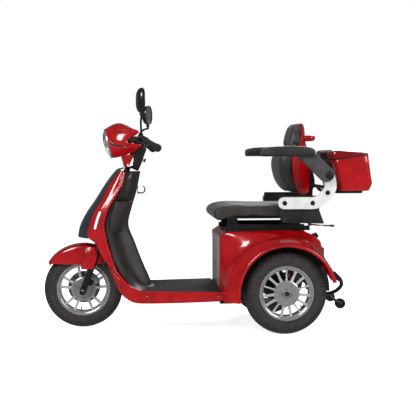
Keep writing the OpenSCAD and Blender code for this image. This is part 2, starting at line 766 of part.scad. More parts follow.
module backrest_cushions() color(black) from_axle() {
    slab(-172, 172) polygon([[1139.5, 712], [1100, 706], [1050, 735], [1016, 780], [996, 845], [1003, 900],
        [1040, 930], [1139.5, 950]]);
    slab(-125, 125) polygon([[1139.5, 951], [1078, 951], [1104, 1066], [1139.5, 1074]]);
}

module box_outline(t) polygon([[1298 + t, 886], [1330 + t, 722 + t], [1488 - t, 722 + t], [1505 - t, 762],
    [1480 - t, 886]]);

module top_box() color(red) from_axle() difference() {
    slab(-205, 205) box_outline(0);
    slab(-201, 201) box_outline(4);
    block([1290, -200, 884], [1480, 200, 900]);
}

lid_hinge = [1290, 893];

module top_box_lid() color(red) from_axle() {
    difference() {
        slab(-205, 205) polygon([[1290, 886.4], [1284, 930], [1330, 935], [1472, 918], [1479, 886.4]]);
        slab(-201, 201) polygon([[1300, 880], [1300, 925], [1330, 930], [1468, 914], [1474, 880]]);
    }
    slab(-60, 60) link(lid_hinge, [1284, 918], 8);
    // Hinge pin, which stands out past the leaf on both sides
    rod([lid_hinge.x, -68, lid_hinge.y], [lid_hinge.x, 68, lid_hinge.y], 4);
}

module anti_tip_wheels() color(black) from_axle() {
    both_sides() difference() {
        rod([1355, -129, 121], [1355, -103, 121], 27);
        rod([1355, -140, 121], [1355, -90, 121], 5 + running_gap);
    }
}

main_frame();
head_bearings();
floor_skirt();
floor_mat();
legshield();
bag_hook();
side_panels();
centre_panel();
front_markers();
rear_body();
seatbox_cover();
battery_and_controller();
underbody();
tail_lights();
rear_bumper();
seat_rails();
fork_upper();
handlebar();
nacelle();
headlamp_lens();
headlamp_reflector();
dash_panel();
neck_cover();
column_cover();
left_grip();
control_pods();
mirror_stems();
brake_lever_left();
brake_lever_right();
throttle_grip();
horn_button();
ignition_key();
mirror_left();
mirror_right();
fork_lowers();
front_fender();
brake_caliper();
front_tyre();
front_rim();
brake_disc();
rear_axle();
drive_motor();
shock_springs();
rear_tyre_left();
rear_rim_left();
rear_tyre_right();
rear_rim_right();
seat_pan();
seat_cushion();
seat_side_covers();
armrest_brackets();
bracket_bolts();
seat_lever();
armrest_left();
armrest_right();
backrest_shell();
backrest_cushions();
top_box();
top_box_lid();
anti_tip_wheels();
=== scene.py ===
"""Mobility scooter: the finished surfaces, cushions, tyres and materials, built round its CAD frame.

Shapes are written in millimetres from the front wheel's axle: X rearwards, Y to the rider's right, Z up from
the ground. at() turns them into the frame's metres.
"""

from math import atan2, cos, pi, radians, sin, sqrt

import bmesh
import bpy
from mathutils import Matrix, Vector


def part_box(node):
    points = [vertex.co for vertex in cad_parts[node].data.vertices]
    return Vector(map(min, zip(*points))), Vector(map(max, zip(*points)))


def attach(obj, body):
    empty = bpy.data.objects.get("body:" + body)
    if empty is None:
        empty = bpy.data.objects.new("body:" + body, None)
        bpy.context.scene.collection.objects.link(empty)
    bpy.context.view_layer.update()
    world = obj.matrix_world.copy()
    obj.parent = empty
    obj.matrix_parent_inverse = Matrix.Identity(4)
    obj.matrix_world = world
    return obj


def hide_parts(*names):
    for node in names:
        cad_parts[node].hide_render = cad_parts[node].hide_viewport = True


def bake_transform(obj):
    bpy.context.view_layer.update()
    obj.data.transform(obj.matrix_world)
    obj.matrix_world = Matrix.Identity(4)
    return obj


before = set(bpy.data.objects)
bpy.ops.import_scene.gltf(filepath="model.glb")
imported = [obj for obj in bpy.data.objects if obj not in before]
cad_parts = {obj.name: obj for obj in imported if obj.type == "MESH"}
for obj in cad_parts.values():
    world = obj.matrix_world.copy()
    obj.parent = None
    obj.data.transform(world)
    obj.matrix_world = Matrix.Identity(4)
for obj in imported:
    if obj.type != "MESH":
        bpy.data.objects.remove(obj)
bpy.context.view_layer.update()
MM = 0.001


def middle(node):
    low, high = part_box(node)
    return (low + high) / 2


FRONT_AXLE = middle("front_rim")
FRONT_R = FRONT_AXLE.z / MM
REAR_AXLE = middle("rear_rim_left")
REAR_X = (REAR_AXLE.x - FRONT_AXLE.x) / MM
REAR_R = REAR_AXLE.z / MM
REAR_WHEEL_Y = -REAR_AXLE.y / MM


def at(point):
    """A point in millimetres from the front axle, as a point of the frame."""
    return Vector((FRONT_AXLE.x + point[0] * MM, point[1] * MM, point[2] * MM))


def from_frame(point):
    """The millimetres that at() would take for a point of the frame."""
    return Vector(((point[0] - FRONT_AXLE.x) / MM, point[1] / MM, point[2] / MM))


# ---------- shapes: each is a list of points in millimetres and a list of faces ----------

def spline(points, steps):
    """A smooth line through the points, with some steps between each pair of them."""
    p = [Vector(q) for q in points]
    p = [2 * p[0] - p[1]] + p + [2 * p[-1] - p[-2]]
    line = []
    for i in range(1, len(p) - 2):
        for k in range(steps):
            t = k / steps
            line.append(0.5 * (
                2 * p[i] + (p[i + 1] - p[i - 1]) * t
                + (2 * p[i - 1] - 5 * p[i] + 4 * p[i + 1] - p[i + 2]) * t ** 2
                + (3 * p[i] - p[i - 1] - 3 * p[i + 1] + p[i + 2]) * t ** 3
            ))
    return line + [p[-2]]


def sheet(rows, around=False):
    """A surface over rows of points. A sheet that goes around joins its last column to its first."""
    columns = len(rows[0])
    last = columns if around else columns - 1
    faces = [
        (r * columns + c, r * columns + (c + 1) % columns,
         (r + 1) * columns + (c + 1) % columns, (r + 1) * columns + c)
        for r in range(len(rows) - 1) for c in range(last)
    ]
    return [p for row in rows for p in row], faces


def smooth_rows(rows, across, along):
    """The same surface with smooth lines through its points both ways."""
    fine = [spline(row, across) for row in rows]
    lines = [spline([row[c] for row in fine], along) for c in range(len(fine[0]))]
    return [[line[r] for line in lines] for r in range(len(lines[0]))]


def curved(rows, across=4, along=4):
    return sheet(smooth_rows(rows, across, along))


def joined(*shapes):
    points, faces = [], []
    for more_points, more_faces in shapes:
        start = len(points)
        points += list(more_points)
        faces += [tuple(start + i for i in face) for face in more_faces]
    return points, faces


def moved(shape, matrix):
    return [matrix @ Vector(p) for p in shape[0]], shape[1]


def shifted(shape, x, y, z):
    return moved(shape, Matrix.Translation((x, y, z)))


def other_side(shape):
    return [(p[0], -p[1], p[2]) for p in shape[0]], [tuple(reversed(f)) for f in shape[1]]


def both(shape):
    return joined(shape, other_side(shape))


def slab(outline, y0, y1):
    """A side outline (X, Z) with thickness from y0 to y1."""
    n = len(outline)
    points = [(x, y, z) for y in (y0, y1) for x, z in outline]
    faces = [tuple(range(n)), tuple(range(2 * n - 1, n - 1, -1))]
    return points, faces + [(i, i + n, (i + 1) % n + n, (i + 1) % n) for i in range(n)]


def block(low, high):
    return slab([(low[0], low[2]), (high[0], low[2]), (high[0], high[2]), (low[0], high[2])], low[1], high[1])


def turned(profile, steps=64, start=0, angle=360):
    """A profile of (radius, distance along) points turned round the Y axis."""
    count = steps if angle == 360 else steps + 1
    rows = []
    for i in range(count):
        a = radians(start + angle * i / steps)
        rows.append([(r * cos(a), y, r * sin(a)) for r, y in profile])
    if angle == 360:
        rows.append(rows[0])
    return sheet(rows)


def pointing(origin, direction, side=(0, 1, 0)):
    """A matrix whose Y axis points in a direction and whose Z axis lies near the side given."""
    y = Vector(direction).normalized()
    x = y.cross(Vector(side)).normalized() if abs(y.dot(Vector(side))) < 0.99 else y.orthogonal().normalized()
    z = x.cross(y)
    matrix = Matrix((x, y, z)).transposed().to_4x4()
    matrix.translation = Vector(origin)
    return matrix


def spindle(profile, origin, direction, steps=40):
    """A profile of (radius, distance along) points turned round any line."""
    return moved(turned(profile, steps), pointing(origin, direction))


def rod(start, end, r, steps=24, soft=0.6):
    """A round bar with softened ends."""
    length = (Vector(end) - Vector(start)).length
    profile = [(0, 0), (r - soft, 0), (r, soft), (r, length - soft), (r - soft, length), (0, length)]
    return spindle(profile, start, Vector(end) - Vector(start), steps)


def tube(points, r, steps=8, sides=16):
    """A bent round tube along a smooth line, with closed ends. r may change along it."""
    line = spline(points, steps)
    rows = []
    up = Vector((0.12, 0.21, 1))
    for i, p in enumerate(line):
        ahead = (line[min(i + 1, len(line) - 1)] - line[max(i - 1, 0)]).normalized()
        side = ahead.cross(up).normalized()
        up = side.cross(ahead).normalized()
        share = i / (len(line) - 1)
        size = r(share) if callable(r) else r
        rows.append([p + size * (side * cos(2 * pi * k / sides) + up * sin(2 * pi * k / sides))
                     for k in range(sides)])
    points_out, faces = sheet(rows, around=True)
    faces.append(tuple(range(sides - 1, -1, -1)))
    faces.append(tuple(range(len(points_out) - sides, len(points_out))))
    return points_out, faces


def rounded(points, r, steps=5):
    """A closed outline with every corner rounded to about the radius r."""
    out = []
    n = len(points)
    for i in range(n):
        before, here, after = (Vector(points[j % n]) for j in (i - 1, i, i + 1))
        a, b = before - here, after - here
        cut = min(r, a.length * 0.45, b.length * 0.45)
        start, end = here + a.normalized() * cut, here + b.normalized() * cut
        for k in range(steps + 1):
            t = k / steps
            out.append(tuple((1 - t) ** 2 * start + 2 * t * (1 - t) * here + t ** 2 * end))
    return out


def band(path, r, steps=10):
    """The side outline of an even band with round ends along a path of (X, Z) points."""
    line = [Vector(p) for p in path]
    left, right = [], []
    for i, p in enumerate(line):
        ahead = (line[min(i + 1, len(line) - 1)] - line[max(i - 1, 0)]).normalized()
        normal = Vector((-ahead.y, ahead.x))
        left.append(tuple(p + normal * r))
        right.append(tuple(p - normal * r))

    def cap(centre, tip):
        start = atan2(tip.y, tip.x) + pi / 2
        return [(centre.x + r * cos(start - pi * k / steps), centre.y + r * sin(start - pi * k / steps))
                for k in range(1, steps)]

    return left + cap(line[-1], line[-1] - line[-2]) + right[::-1] + cap(line[0], line[0] - line[1])


# ---------- pieces ----------

def shade(mesh, angle):
    """Smooth shading, kept crisp where two faces meet at more than the angle."""
    work = bmesh.new()
    work.from_mesh(mesh)
    for face in work.faces:
        face.smooth = True
    for edge in work.edges:
        edge.smooth = len(edge.link_faces) == 2 and edge.calc_face_angle(0) < radians(angle)
    work.to_mesh(mesh)
    work.free()


def settle(obj):
    """Applies the object's modifiers to its mesh."""
    shown = obj.evaluated_get(bpy.context.evaluated_depsgraph_get())
    obj.data = bpy.data.meshes.new_from_object(shown)
    obj.modifiers.clear()


def mesh_object(name, shape):
    points, faces = shape
    mesh = bpy.data.meshes.new(name)
    mesh.from_pydata([at(p) for p in points], [], faces)
    work = bmesh.new()
    work.from_mesh(mesh)
    bmesh.ops.remove_doubles(work, verts=work.verts, dist=2e-5)
    bmesh.ops.recalc_face_normals(work, faces=work.faces)
    work.to_mesh(mesh)
    work.free()
    obj = bpy.data.objects.new(name, mesh)
    bpy.context.scene.collection.objects.link(obj)
    return obj


def place(obj, material, body, stands_for=()):
    """Gives a finished piece its material and its body, and hides the CAD nodes that it stands for."""
    obj.data.materials.clear()
    obj.data.materials.append(material)
    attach(obj, body)
    if stands_for:
        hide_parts(*([stands_for] if isinstance(stands_for, str) else stands_for))
    return obj


def piece(name, shape, finish, body, stands_for=(), thick=0, inward=-1, smooth=0, bevel=0, segments=2, angle=38):
    """A finished piece: thick gives a sheet its wall, smooth subdivides it, and bevel softens its edges."""
    obj = mesh_object(name, shape)
    if thick:
        wall = obj.modifiers.new("wall", "SOLIDIFY")
        wall.thickness = thick * MM
        wall.offset = inward
        wall.use_even_offset = True
    if bevel:
        soft = obj.modifiers.new("soft_edges", "BEVEL")
        soft.width = bevel * MM
        soft.segments = segments
        soft.limit_method = "ANGLE"
        soft.angle_limit = radians(32)
    if smooth:
        finer = obj.modifiers.new("smooth", "SUBSURF")
        finer.levels = finer.render_levels = smooth
    settle(obj)
    shade(obj.data, angle)
    material, slot = finish
    return place(obj, material, body, stands_for)


# ---------- materials ----------

def linear(colour):
    """An sRGB hex colour as the linear colour that the shaders take."""
    parts = [int(colour[i:i + 2], 16) / 255 for i in (1, 3, 5)]
    return [c / 12.92 if c <= 0.04045 else ((c + 0.055) / 1.055) ** 2.4 for c in parts] + [1.0]


def add(tree, kind, links=None, **settings):
    """Adds a node. links gives its inputs: a socket is linked and anything else is set as the value."""
    made = tree.nodes.new(kind)
    for key, value in settings.items():
        setattr(made, key, value)
    for key, value in (links or {}).items():
        if isinstance(value, bpy.types.NodeSocket):
            tree.links.new(value, made.inputs[key])
        else:
            made.inputs[key].default_value = value
    return made


def surface(name, **sockets):
    """A new material: its tree, its shader and the object's own coordinates in metres."""
    material = bpy.data.materials.new(name)
    material.use_nodes = True
    tree = material.node_tree
    shader = tree.nodes["Principled BSDF"]
    for key, value in sockets.items():
        shader.inputs[key.replace("_", " ")].default_value = value
    place_of = add(tree, "ShaderNodeTexCoord").outputs["Object"]
    return material, tree, shader, place_of


def two_tones(tree, shader, factor, dark, light, low=0.35, high=0.65):
    """Colours a surface between two tones, where the factor goes from low to high."""
    spread = add(tree, "ShaderNodeMapRange", {"Value": factor, "From Min": low, "From Max": high})
    mix = add(tree, "ShaderNodeMix", {"Factor": spread.outputs["Result"], 6: linear(dark), 7: linear(light)},
              data_type="RGBA")
    tree.links.new(mix.outputs[2], shader.inputs["Base Color"])


def raised(tree, shader, height, depth_mm, strength=0.5):
    """Bumps a surface by a height pattern."""
    bump = add(tree, "ShaderNodeBump", {"Height": height, "Distance": depth_mm * MM, "Strength": strength})
    tree.links.new(bump.outputs["Normal"], shader.inputs["Normal"])


def gloss_abs(name, dark, light, roughness=0.2):
    """Moulded ABS under clear lacquer: a deep colour, a wet shine and a faint 12 mm ripple from the mould."""
    material, tree, shader, spot = surface(
        name, Roughness=roughness, IOR=1.52, Coat_Weight=1.0, Coat_Roughness=0.04, Coat_IOR=1.5)
    cloud = add(tree, "ShaderNodeTexNoise", {"Vector": spot, "Scale": 1 / (60 * MM), "Detail": 3})
    two_tones(tree, shader, cloud.outputs["Fac"], dark, light)
    ripple = add(tree, "ShaderNodeTexNoise", {"Vector": spot, "Scale": 1 / (12 * MM), "Detail": 1})
    raised(tree, shader, ripple.outputs["Fac"], 0.12, 0.25)
    return material


def grained_plastic(name, dark, light, grain_mm, roughness, depth_mm=0.12):
    """Moulded plastic from an etched tool: a fine pebble grain that breaks up its highlights."""
    material, tree, shader, spot = surface(name, Roughness=roughness, IOR=1.49)
    cloud = add(tree, "ShaderNodeTexNoise", {"Vector": spot, "Scale": 1 / (45 * MM), "Detail": 4})
    two_tones(tree, shader, cloud.outputs["Fac"], dark, light)
    pebble = add(tree, "ShaderNodeTexVoronoi", {"Vector": spot, "Scale": 1 / (grain_mm * MM)})
    raised(tree, shader, pebble.outputs["Distance"], depth_mm, 0.6)
    return material


def upholstery(name, dark, light, grain_mm=2.2):
    """Coated leather cloth: creased pebbles about 2 mm across, worn a little lighter in patches."""
    material, tree, shader, spot = surface(name, Roughness=0.48, IOR=1.5, Sheen_Weight=0.12, Sheen_Roughness=0.4)
    patches = add(tree, "ShaderNodeTexNoise", {"Vector": spot, "Scale": 1 / (70 * MM), "Detail": 5})
    two_tones(tree, shader, patches.outputs["Fac"], dark, light, 0.3, 0.7)
    warp = add(tree, "ShaderNodeTexNoise", {"Vector": spot, "Scale": 1 / (6 * MM), "Detail": 2})
    pebble = add(tree, "ShaderNodeTexVoronoi", {"Vector": spot, "Scale": 1 / (grain_mm * MM)},
                 feature="DISTANCE_TO_EDGE")
    grain = add(tree, "ShaderNodeMath", {0: pebble.outputs["Distance"], 1: warp.outputs["Fac"]},
                operation="MULTIPLY")
    raised(tree, shader, grain.outputs["Value"], 0.5, 0.55)
    return material


def rubber(name, dark, light, roughness=0.78, grain_mm=1.2):
    """Vulcanised rubber: dull black with grey dust in its fine grain."""
    material, tree, shader, spot = surface(name, Roughness=roughness, IOR=1.52)
    dust = add(tree, "ShaderNodeTexNoise", {"Vector": spot, "Scale": 1 / (18 * MM), "Detail": 8, "Roughness": 0.7})
    two_tones(tree, shader, dust.outputs["Fac"], dark, light, 0.4, 0.72)
    grain = add(tree, "ShaderNodeTexNoise", {"Vector": spot, "Scale": 1 / (grain_mm * MM), "Detail": 3})
    raised(tree, shader, grain.outputs["Fac"], 0.15, 0.5)
    return material


def coated_steel(name, dark, light, roughness=0.32):
    """Powder-coated steel tube and plate: an even paint with the slight orange peel of the cured powder."""
    material, tree, shader, spot = surface(name, Roughness=roughness, IOR=1.5, Coat_Weight=0.3, Coat_Roughness=0.15)
    cloud = add(tree, "ShaderNodeTexNoise", {"Vector": spot, "Scale": 1 / (40 * MM), "Detail": 4})
    two_tones(tree, shader, cloud.outputs["Fac"], dark, light)
    peel = add(tree, "ShaderNodeTexNoise", {"Vector": spot, "Scale": 1 / (1.8 * MM), "Detail": 1})
    raised(tree, shader, peel.outputs["Fac"], 0.05, 0.4)
    return material


def cast_alloy(name, dark, light, roughness=0.3, metallic=1.0):
    """Cast aluminium, painted silver on the spokes and turned bright on the lips, with a fine cast grain."""
    material, tree, shader, spot = surface(name, Metallic=metallic, Roughness=roughness)
    cloud = add(tree, "ShaderNodeTexNoise", {"Vector": spot, "Scale": 1 / (25 * MM), "Detail": 5})
    two_tones(tree, shader, cloud.outputs["Fac"], dark, light)
    grain = add(tree, "ShaderNodeTexNoise", {"Vector": spot, "Scale": 1 / (1.5 * MM), "Detail": 2})
    raised(tree, shader, grain.outputs["Fac"], 0.06, 0.35)
    return material


def ground_steel(name, light="#c9cacc", roughness=0.22):
    """Bright ground steel: fine scratches about 0.6 mm apart streak the reflection one way."""
    material, tree, shader, spot = surface(name, Metallic=1.0, Roughness=roughness)
    stretch = add(tree, "ShaderNodeMapping", {"Vector": spot, "Scale": (1, 1, 14)})
    scratches = add(tree, "ShaderNodeTexNoise",
                    {"Vector": stretch.outputs["Vector"], "Scale": 1 / (9 * MM), "Detail": 4})
    two_tones(tree, shader, scratches.outputs["Fac"], "#8f9093", light)
    raised(tree, shader, scratches.outputs["Fac"], 0.03, 0.3)
    return material


def clear_plastic(name, tint="#ffffff", roughness=0.03):
    """Clear polycarbonate: a thin bright skin with a faint ripple, which shows the lamp behind it."""
    material, tree, shader, spot = surface(
        name, Roughness=roughness, IOR=1.5, Transmission_Weight=1.0, Coat_Weight=0.4, Base_Color=linear(tint))
    ripple = add(tree, "ShaderNodeTexNoise", {"Vector": spot, "Scale": 1 / (14 * MM), "Detail": 1})
    raised(tree, shader, ripple.outputs["Fac"], 0.1, 0.2)
    return material


def lamp_plastic(name, dark, light, rib_mm=3.0):
    """A lamp lens with fine upright ribs moulded behind a smooth face, which scatter the light in bands."""
    material, tree, shader, spot = surface(name, Roughness=0.12, IOR=1.5, Coat_Weight=1.0, Coat_Roughness=0.03)
    ribs = add(tree, "ShaderNodeTexWave", {"Vector": spot, "Scale": 1 / (rib_mm * MM) / 6.28, "Distortion": 0.2},
               bands_direction="Z")
    two_tones(tree, shader, ribs.outputs["Fac"], dark, light, 0.1, 0.9)
    raised(tree, shader, ribs.outputs["Fac"], 0.3, 0.5)
    return material


def mirror_glass():
    """Silvered glass: a clean reflection with the faintest smear."""
    material, tree, shader, spot = surface("mirror_glass", Metallic=1.0, Roughness=0.03)
    smear = add(tree, "ShaderNodeTexNoise", {"Vector": spot, "Scale": 1 / (35 * MM), "Detail": 3})
    two_tones(tree, shader, smear.outputs["Fac"], "#e4e8ea", "#f4f6f7")
    return material


def printed_dial():
    """Smoked instrument plastic, nearly black, with a soft lighter haze where the display lies under it."""
    material, tree, shader, spot = surface(
        "smoked_dash", Roughness=0.08, IOR=1.5, Coat_Weight=1.0, Coat_Roughness=0.02)
    haze = add(tree, "ShaderNodeTexNoise", {"Vector": spot, "Scale": 1 / (50 * MM), "Detail": 1})
    two_tones(tree, shader, haze.outputs["Fac"], "#0b0c0e", "#1c1f24")
    return material


RED = gloss_abs("red_lacquered_abs", "#920309", "#a9050c"), "red_panel"
# A darker copy of the red lacquer for the top box's lid: painted shade on the top of the box.
LID_SHADED_RED = gloss_abs("red_lacquered_abs_painted_shade", "#6d0206", "#7d0409"), "red_panel"
NAVY = gloss_abs("blue_black_abs", "#1a222b", "#242e39", 0.34), "dark_panel"
SHIELD = grained_plastic("grained_dark_polypropylene", "#242122", "#2f2c2c", 1.6, 0.42), "shield_plastic"
BLACK_PLASTIC = grained_plastic("moulded_black_abs", "#141415", "#1d1d1f", 1.3, 0.4), "black_plastic"
SIDE_COVER = grained_plastic("satin_black_cover", "#1b1b1d", "#262628", 1.4, 0.36), "black_plastic"
MAT = rubber("ribbed_mat_rubber", "#1e1c1c", "#2a2828", 0.62, 2.0), "floor_rubber"
FRONT_GREY = gloss_abs("silver_grey_abs", "#a2969a", "#b0a6a6", 0.16), "seatbox_front"
LEATHER = upholstery("charcoal_leathercloth", "#282625", "#383533"), "seat_leather"
PIPING = upholstery("grey_piping", "#5d5b59", "#6e6b69", 1.4), "seat_leather"
ARM_LEATHER = upholstery("black_arm_leathercloth", "#222122", "#312f30", 1.8), "arm_pad"
ARM_CASTING = grained_plastic("satin_arm_moulding", "#363537", "#444345", 1.6, 0.4), "arm_pad"
TYRE = rubber("tyre_rubber", "#252121", "#393433", 0.8, 1.4), "tyre_rubber"
GRIP = rubber("grip_rubber", "#171617", "#242324", 0.66, 1.0), "grip_rubber"
BLACK_STEEL = coated_steel("black_coated_steel", "#121214", "#19191b", 0.28), "black_tube"
FRAME_STEEL = coated_steel("grey_coated_frame_steel", "#1c1d20", "#26272b", 0.4), "frame_paint"
WHITE_STEEL = coated_steel("white_enamelled_bracket", "#c6c5c5", "#d3d2d2", 0.24), "bracket_paint"
SPRING_STEEL = coated_steel("red_coated_spring", "#8f0a0c", "#a80d10", 0.3), "spring_paint"
ALLOY = cast_alloy("silver_painted_alloy", "#b6b7b9", "#cbccce", 0.36, 0.45), "alloy"
BRIGHT_ALLOY = cast_alloy("turned_bright_alloy", "#c3c3c5", "#d8d8da", 0.2, 0.8), "alloy"
HUB_ALLOY = cast_alloy("grey_hub_casting", "#77787a", "#8e8f92", 0.42, 0.5), "alloy"
STEEL = ground_steel("ground_steel"), "bright_steel"
DISC = ground_steel("ground_disc_steel", "#b8b9bb", 0.28), "disc_steel"
CHROME = ground_steel("bright_reflector", "#eceded", 0.08), "lamp_reflector"
LENS = clear_plastic("clear_headlamp_lens"), "lamp_lens"
STRIP_LENS = lamp_plastic("frosted_light_strip", "#c4c9cc", "#f2f4f5"), "marker_lens"
RED_LENS = lamp_plastic("ribbed_red_lens", "#5e0206", "#a5060d"), "red_lens"
SMOKED = lamp_plastic("smoked_indicator_lens", "#3a0508", "#5d1013"), "red_lens"
DASH = printed_dial(), "dash_plastic"
GLASS = mirror_glass(), "mirror_body"
MIRROR_SHELL = gloss_abs("gloss_black_abs", "#0e0e0f", "#151516", 0.22), "mirror_body"
BUTTON = grained_plastic("beige_button", "#c9a878", "#d8bb90", 1.0, 0.4), "button_plastic"
MOTOR = coated_steel("motor_casing", "#17181a", "#222326", 0.5), "motor_case"
CASES = grained_plastic("battery_case", "#1d1d1f", "#27272a", 1.5, 0.5), "battery_case"

# The CAD pieces whose own shape shows keep it and take these finishes.
KEPT = {
    FRAME_STEEL: ("main_frame", "fork_upper", "rear_axle", "seat_rails", "seat_pan"),
    BLACK_STEEL: ("handlebar",),
    STEEL: ("head_bearings",),
    MOTOR: ("drive_motor",),
    CASES: ("battery_and_controller",),
    BLACK_PLASTIC: ("underbody",),
}
for (kept_material, _), kept_nodes in KEPT.items():
    for kept_node in kept_nodes:
        kept_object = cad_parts[kept_node]
        kept_object.data.materials.clear()
        kept_object.data.materials.append(kept_material)

# ---------- front body ----------

# The red shell beside the legs, from the neck down to the foot platform and back along it.
# Each station is its front or lower edge and its rear or upper edge, as X, Z and half width.
SIDE_STATIONS = [
    ((192, 828, 101), (220, 818, 116)), ((144, 762, 114), (206, 757, 138)), ((97, 677, 121), (174, 702, 153)),
    ((58, 610, 127), (134, 634, 164)), ((32, 544, 131), (113, 550, 173)), ((28, 487, 132), (126, 466, 178)),
    ((67, 454, 140), (138, 420, 180)), ((95, 393, 150), (152, 376, 181)), ((133, 336, 159), (170, 322, 183)),
    ((160, 270, 165), (203, 280, 186)), ((198, 194, 176), (247, 238, 189)), ((250, 155, 186), (300, 216, 192)),
    ((305, 147, 191), (356, 213, 198)), ((500, 152, 221), (540, 212, 226)), ((700, 162, 251), (742, 211, 254)),
]
SHELL_PARTS = 12      # stations of the side panel; the rest are the skirt of the platform
SHELL_LIP = 5         # how far the raised edge stands off the shell


def station_points(station):
    return [Vector((x, -half, z)) for x, z, half in station]


def shell_row(i):
    """One row across the shell: turned-in front edge, crowned face, raised lip and turned-in rear edge."""
    front, rear = station_points(SIDE_STATIONS[i])
    before = station_points(SIDE_STATIONS[max(i - 1, 0)])
    after = station_points(SIDE_STATIONS[min(i + 1, len(SIDE_STATIONS) - 1)])
    down = after[0] + after[1] - before[0] - before[1]
    across = rear - front
    out = across.cross(down).normalized()
    if out.y > 0:
        out = -out
    run = across.normalized()
    crown = 9 if i < SHELL_PARTS - 2 else 3
    row = [front - out * 13 + run * 7, front - out * 3 + run, front + run * 4 + out * 1.5]
    row += [front + across * share + out * crown * height
            for share, height in ((0.24, 0.66), (0.42, 1), (0.6, 0.85))]
    row += [rear - run * 15 + out * crown * 0.25, rear - run * 11 + out * (SHELL_LIP * 0.7),
            rear - run * 6 + out * SHELL_LIP, rear - run * 1.5 + out * SHELL_LIP * 0.7, rear - out * 3,
            rear - out * 11 - run * 3]
    return row


shell_rows = [shell_row(i) for i in range(len(SIDE_STATIONS))]
piece("side_shells", both(curved(shell_rows[:SHELL_PARTS], 3, 5)), RED, "chassis", "side_panels", thick=3)
piece("platform_skirt", both(curved(shell_rows[SHELL_PARTS - 1:], 3, 6)), RED, "chassis", "floor_skirt", thick=3)

# Front edge X, half width and Z of the dark panel between the shells, and how far its middle stands ahead.
CENTRE_ROWS = [
    (216, 92, 842, 12), (192, 98, 829, 19), (144, 110, 762, 24), (97, 117, 677, 31), (58, 123, 610, 38),
    (32, 127, 544, 46), (28, 128, 487, 55), (31, 127, 479, 53),
]


def centre_row(x, half, z, lead):
    shares = [-1, -0.94, -0.8, -0.55, -0.28, 0, 0.28, 0.55, 0.8, 0.94, 1]
    return [(x - lead * (1 - abs(s) ** 2.4), half * s, z) for s in shares]


piece("centre_front_panel", curved([centre_row(*r) for r in CENTRE_ROWS], 3, 5), NAVY, "chassis",
      "centre_panel", thick=3)

# Z, X and half width at the outer edge, then X and half width of the spine behind the steering column.
SHIELD_ROWS = [
    (822, 232, 104, 300, 56), (806, 222, 112, 296, 60), (721, 198, 138, 279, 64), (630, 146, 158, 252, 66),
    (540, 124, 167, 235, 66), (450, 142, 173, 268, 64), (350, 172, 176, 306, 62), (260, 232, 183, 345, 60),
    (228, 270, 186, 356, 60), (219, 300, 188, 372, 60),
]


def shield_row(z, edge, half, spine, spine_half):
    side = [
        (edge - 2, half, z), (edge + 5, half - 7, z), (edge + (spine - edge) * 0.22, half - 26, z),
        (edge + (spine - edge) * 0.45, spine_half + 34, z), (edge + (spine - edge) * 0.72, spine_half + 12, z),
        (spine - 5, spine_half - 4, z), (spine, spine_half - 18, z), (spine + 2, spine_half * 0.35, z),
    ]
    return [(x, -y, z) for x, y, z in side] + [(x, y, z) for x, y, z in reversed(side)]


piece("leg_shield", curved([shield_row(*r) for r in SHIELD_ROWS], 2, 4), SHIELD, "chassis", "legshield",
      thick=3, inward=1)


def pocket_row(z, outer, inner, swell):
    """A row across an open-topped pocket between its outer and inner edges on the shield."""
    (x0, y0), (x1, y1) = outer, inner
    out = Vector((0.72, -0.69))
    row = []
    for share, height in ((0, 0), (0.06, 0.55), (0.2, 0.95), (0.45, 1.08), (0.7, 1.0), (0.92, 0.62), (1, 0)):
        flat = Vector((x0 + (x1 - x0) * share, y0 + (y1 - y0) * share)) + out * swell * height
        row.append((flat.x, flat.y, z))
    return row


POCKET_ROWS = [
    (508, (150, -150), (196, -92), 2), (522, (142, -152), (204, -88), 13), (548, (140, -152), (212, -84), 22),
    (590, (144, -152), (222, -80), 28), (640, (160, -150), (236, -76), 31), (668, (168, -149), (244, -74), 32),
]
piece("shield_pockets", both(curved([pocket_row(*r) for r in POCKET_ROWS], 3, 4)), SHIELD, "chassis",
      thick=2.5, bevel=0.6)
pocket_rim = pocket_row(*POCKET_ROWS[-1])
piece("pocket_rims", both(tube(pocket_rim, 2.6, steps=4, sides=10)), SHIELD, "chassis")

piece("bag_hook_plate", slab(rounded([(285, 700), (288.4, 700), (288.4, 746), (285, 746)], 1), -14, 14), STEEL,
      "chassis", "bag_hook", bevel=0.8)
piece("bag_hook_wire", tube([(287, 0, 712), (302, 0, 708), (317, 0, 711), (325, 0, 722), (322, 0, 738),
                             (316, 0, 745)], 3.8, sides=14), STEEL, "chassis")
hook_screws = [spindle([(0, 2.6), (3, 2.2), (4.2, 0.6), (4.2, 0)], (288.2, y, z), (1, 0, 0), 20)
               for y in (-9, 9) for z in (706, 739)]
piece("bag_hook_screws", joined(*hook_screws), STEEL, "chassis")


def platform(inset):
    return [(292 + inset, -190 + inset), (705 - inset, -250 + inset), (705 - inset, 250 - inset),
            (292 + inset, 190 - inset)]


def plan_slab(outline, z0, z1):
    """A plan outline (X, Y) with thickness from z0 to z1."""
    points, faces = slab(outline, z0, z1)
    return [(x, z, y) for x, y, z in points], faces


piece("mat_base", plan_slab(rounded(platform(4), 14), 210, 216.4), MAT, "chassis", "floor_mat", bevel=2)
ribs = [block((330, y - 4, 215), (690, y + 4, 219.6)) for y in range(-176, 177, 16)]
piece("mat_ribs", joined(*ribs), MAT, "chassis", bevel=1.6, segments=3)
skirt_screws = [spindle([(0, 2.4), (4, 2), (5.4, 0.8), (5.6, 0)], (x, y, 182), (0.14, -1, 0), 20)
                for x, y in ((330, -199.6), (690, -252.2))]
piece("skirt_screws", both(joined(*skirt_screws)), STEEL, "chassis")

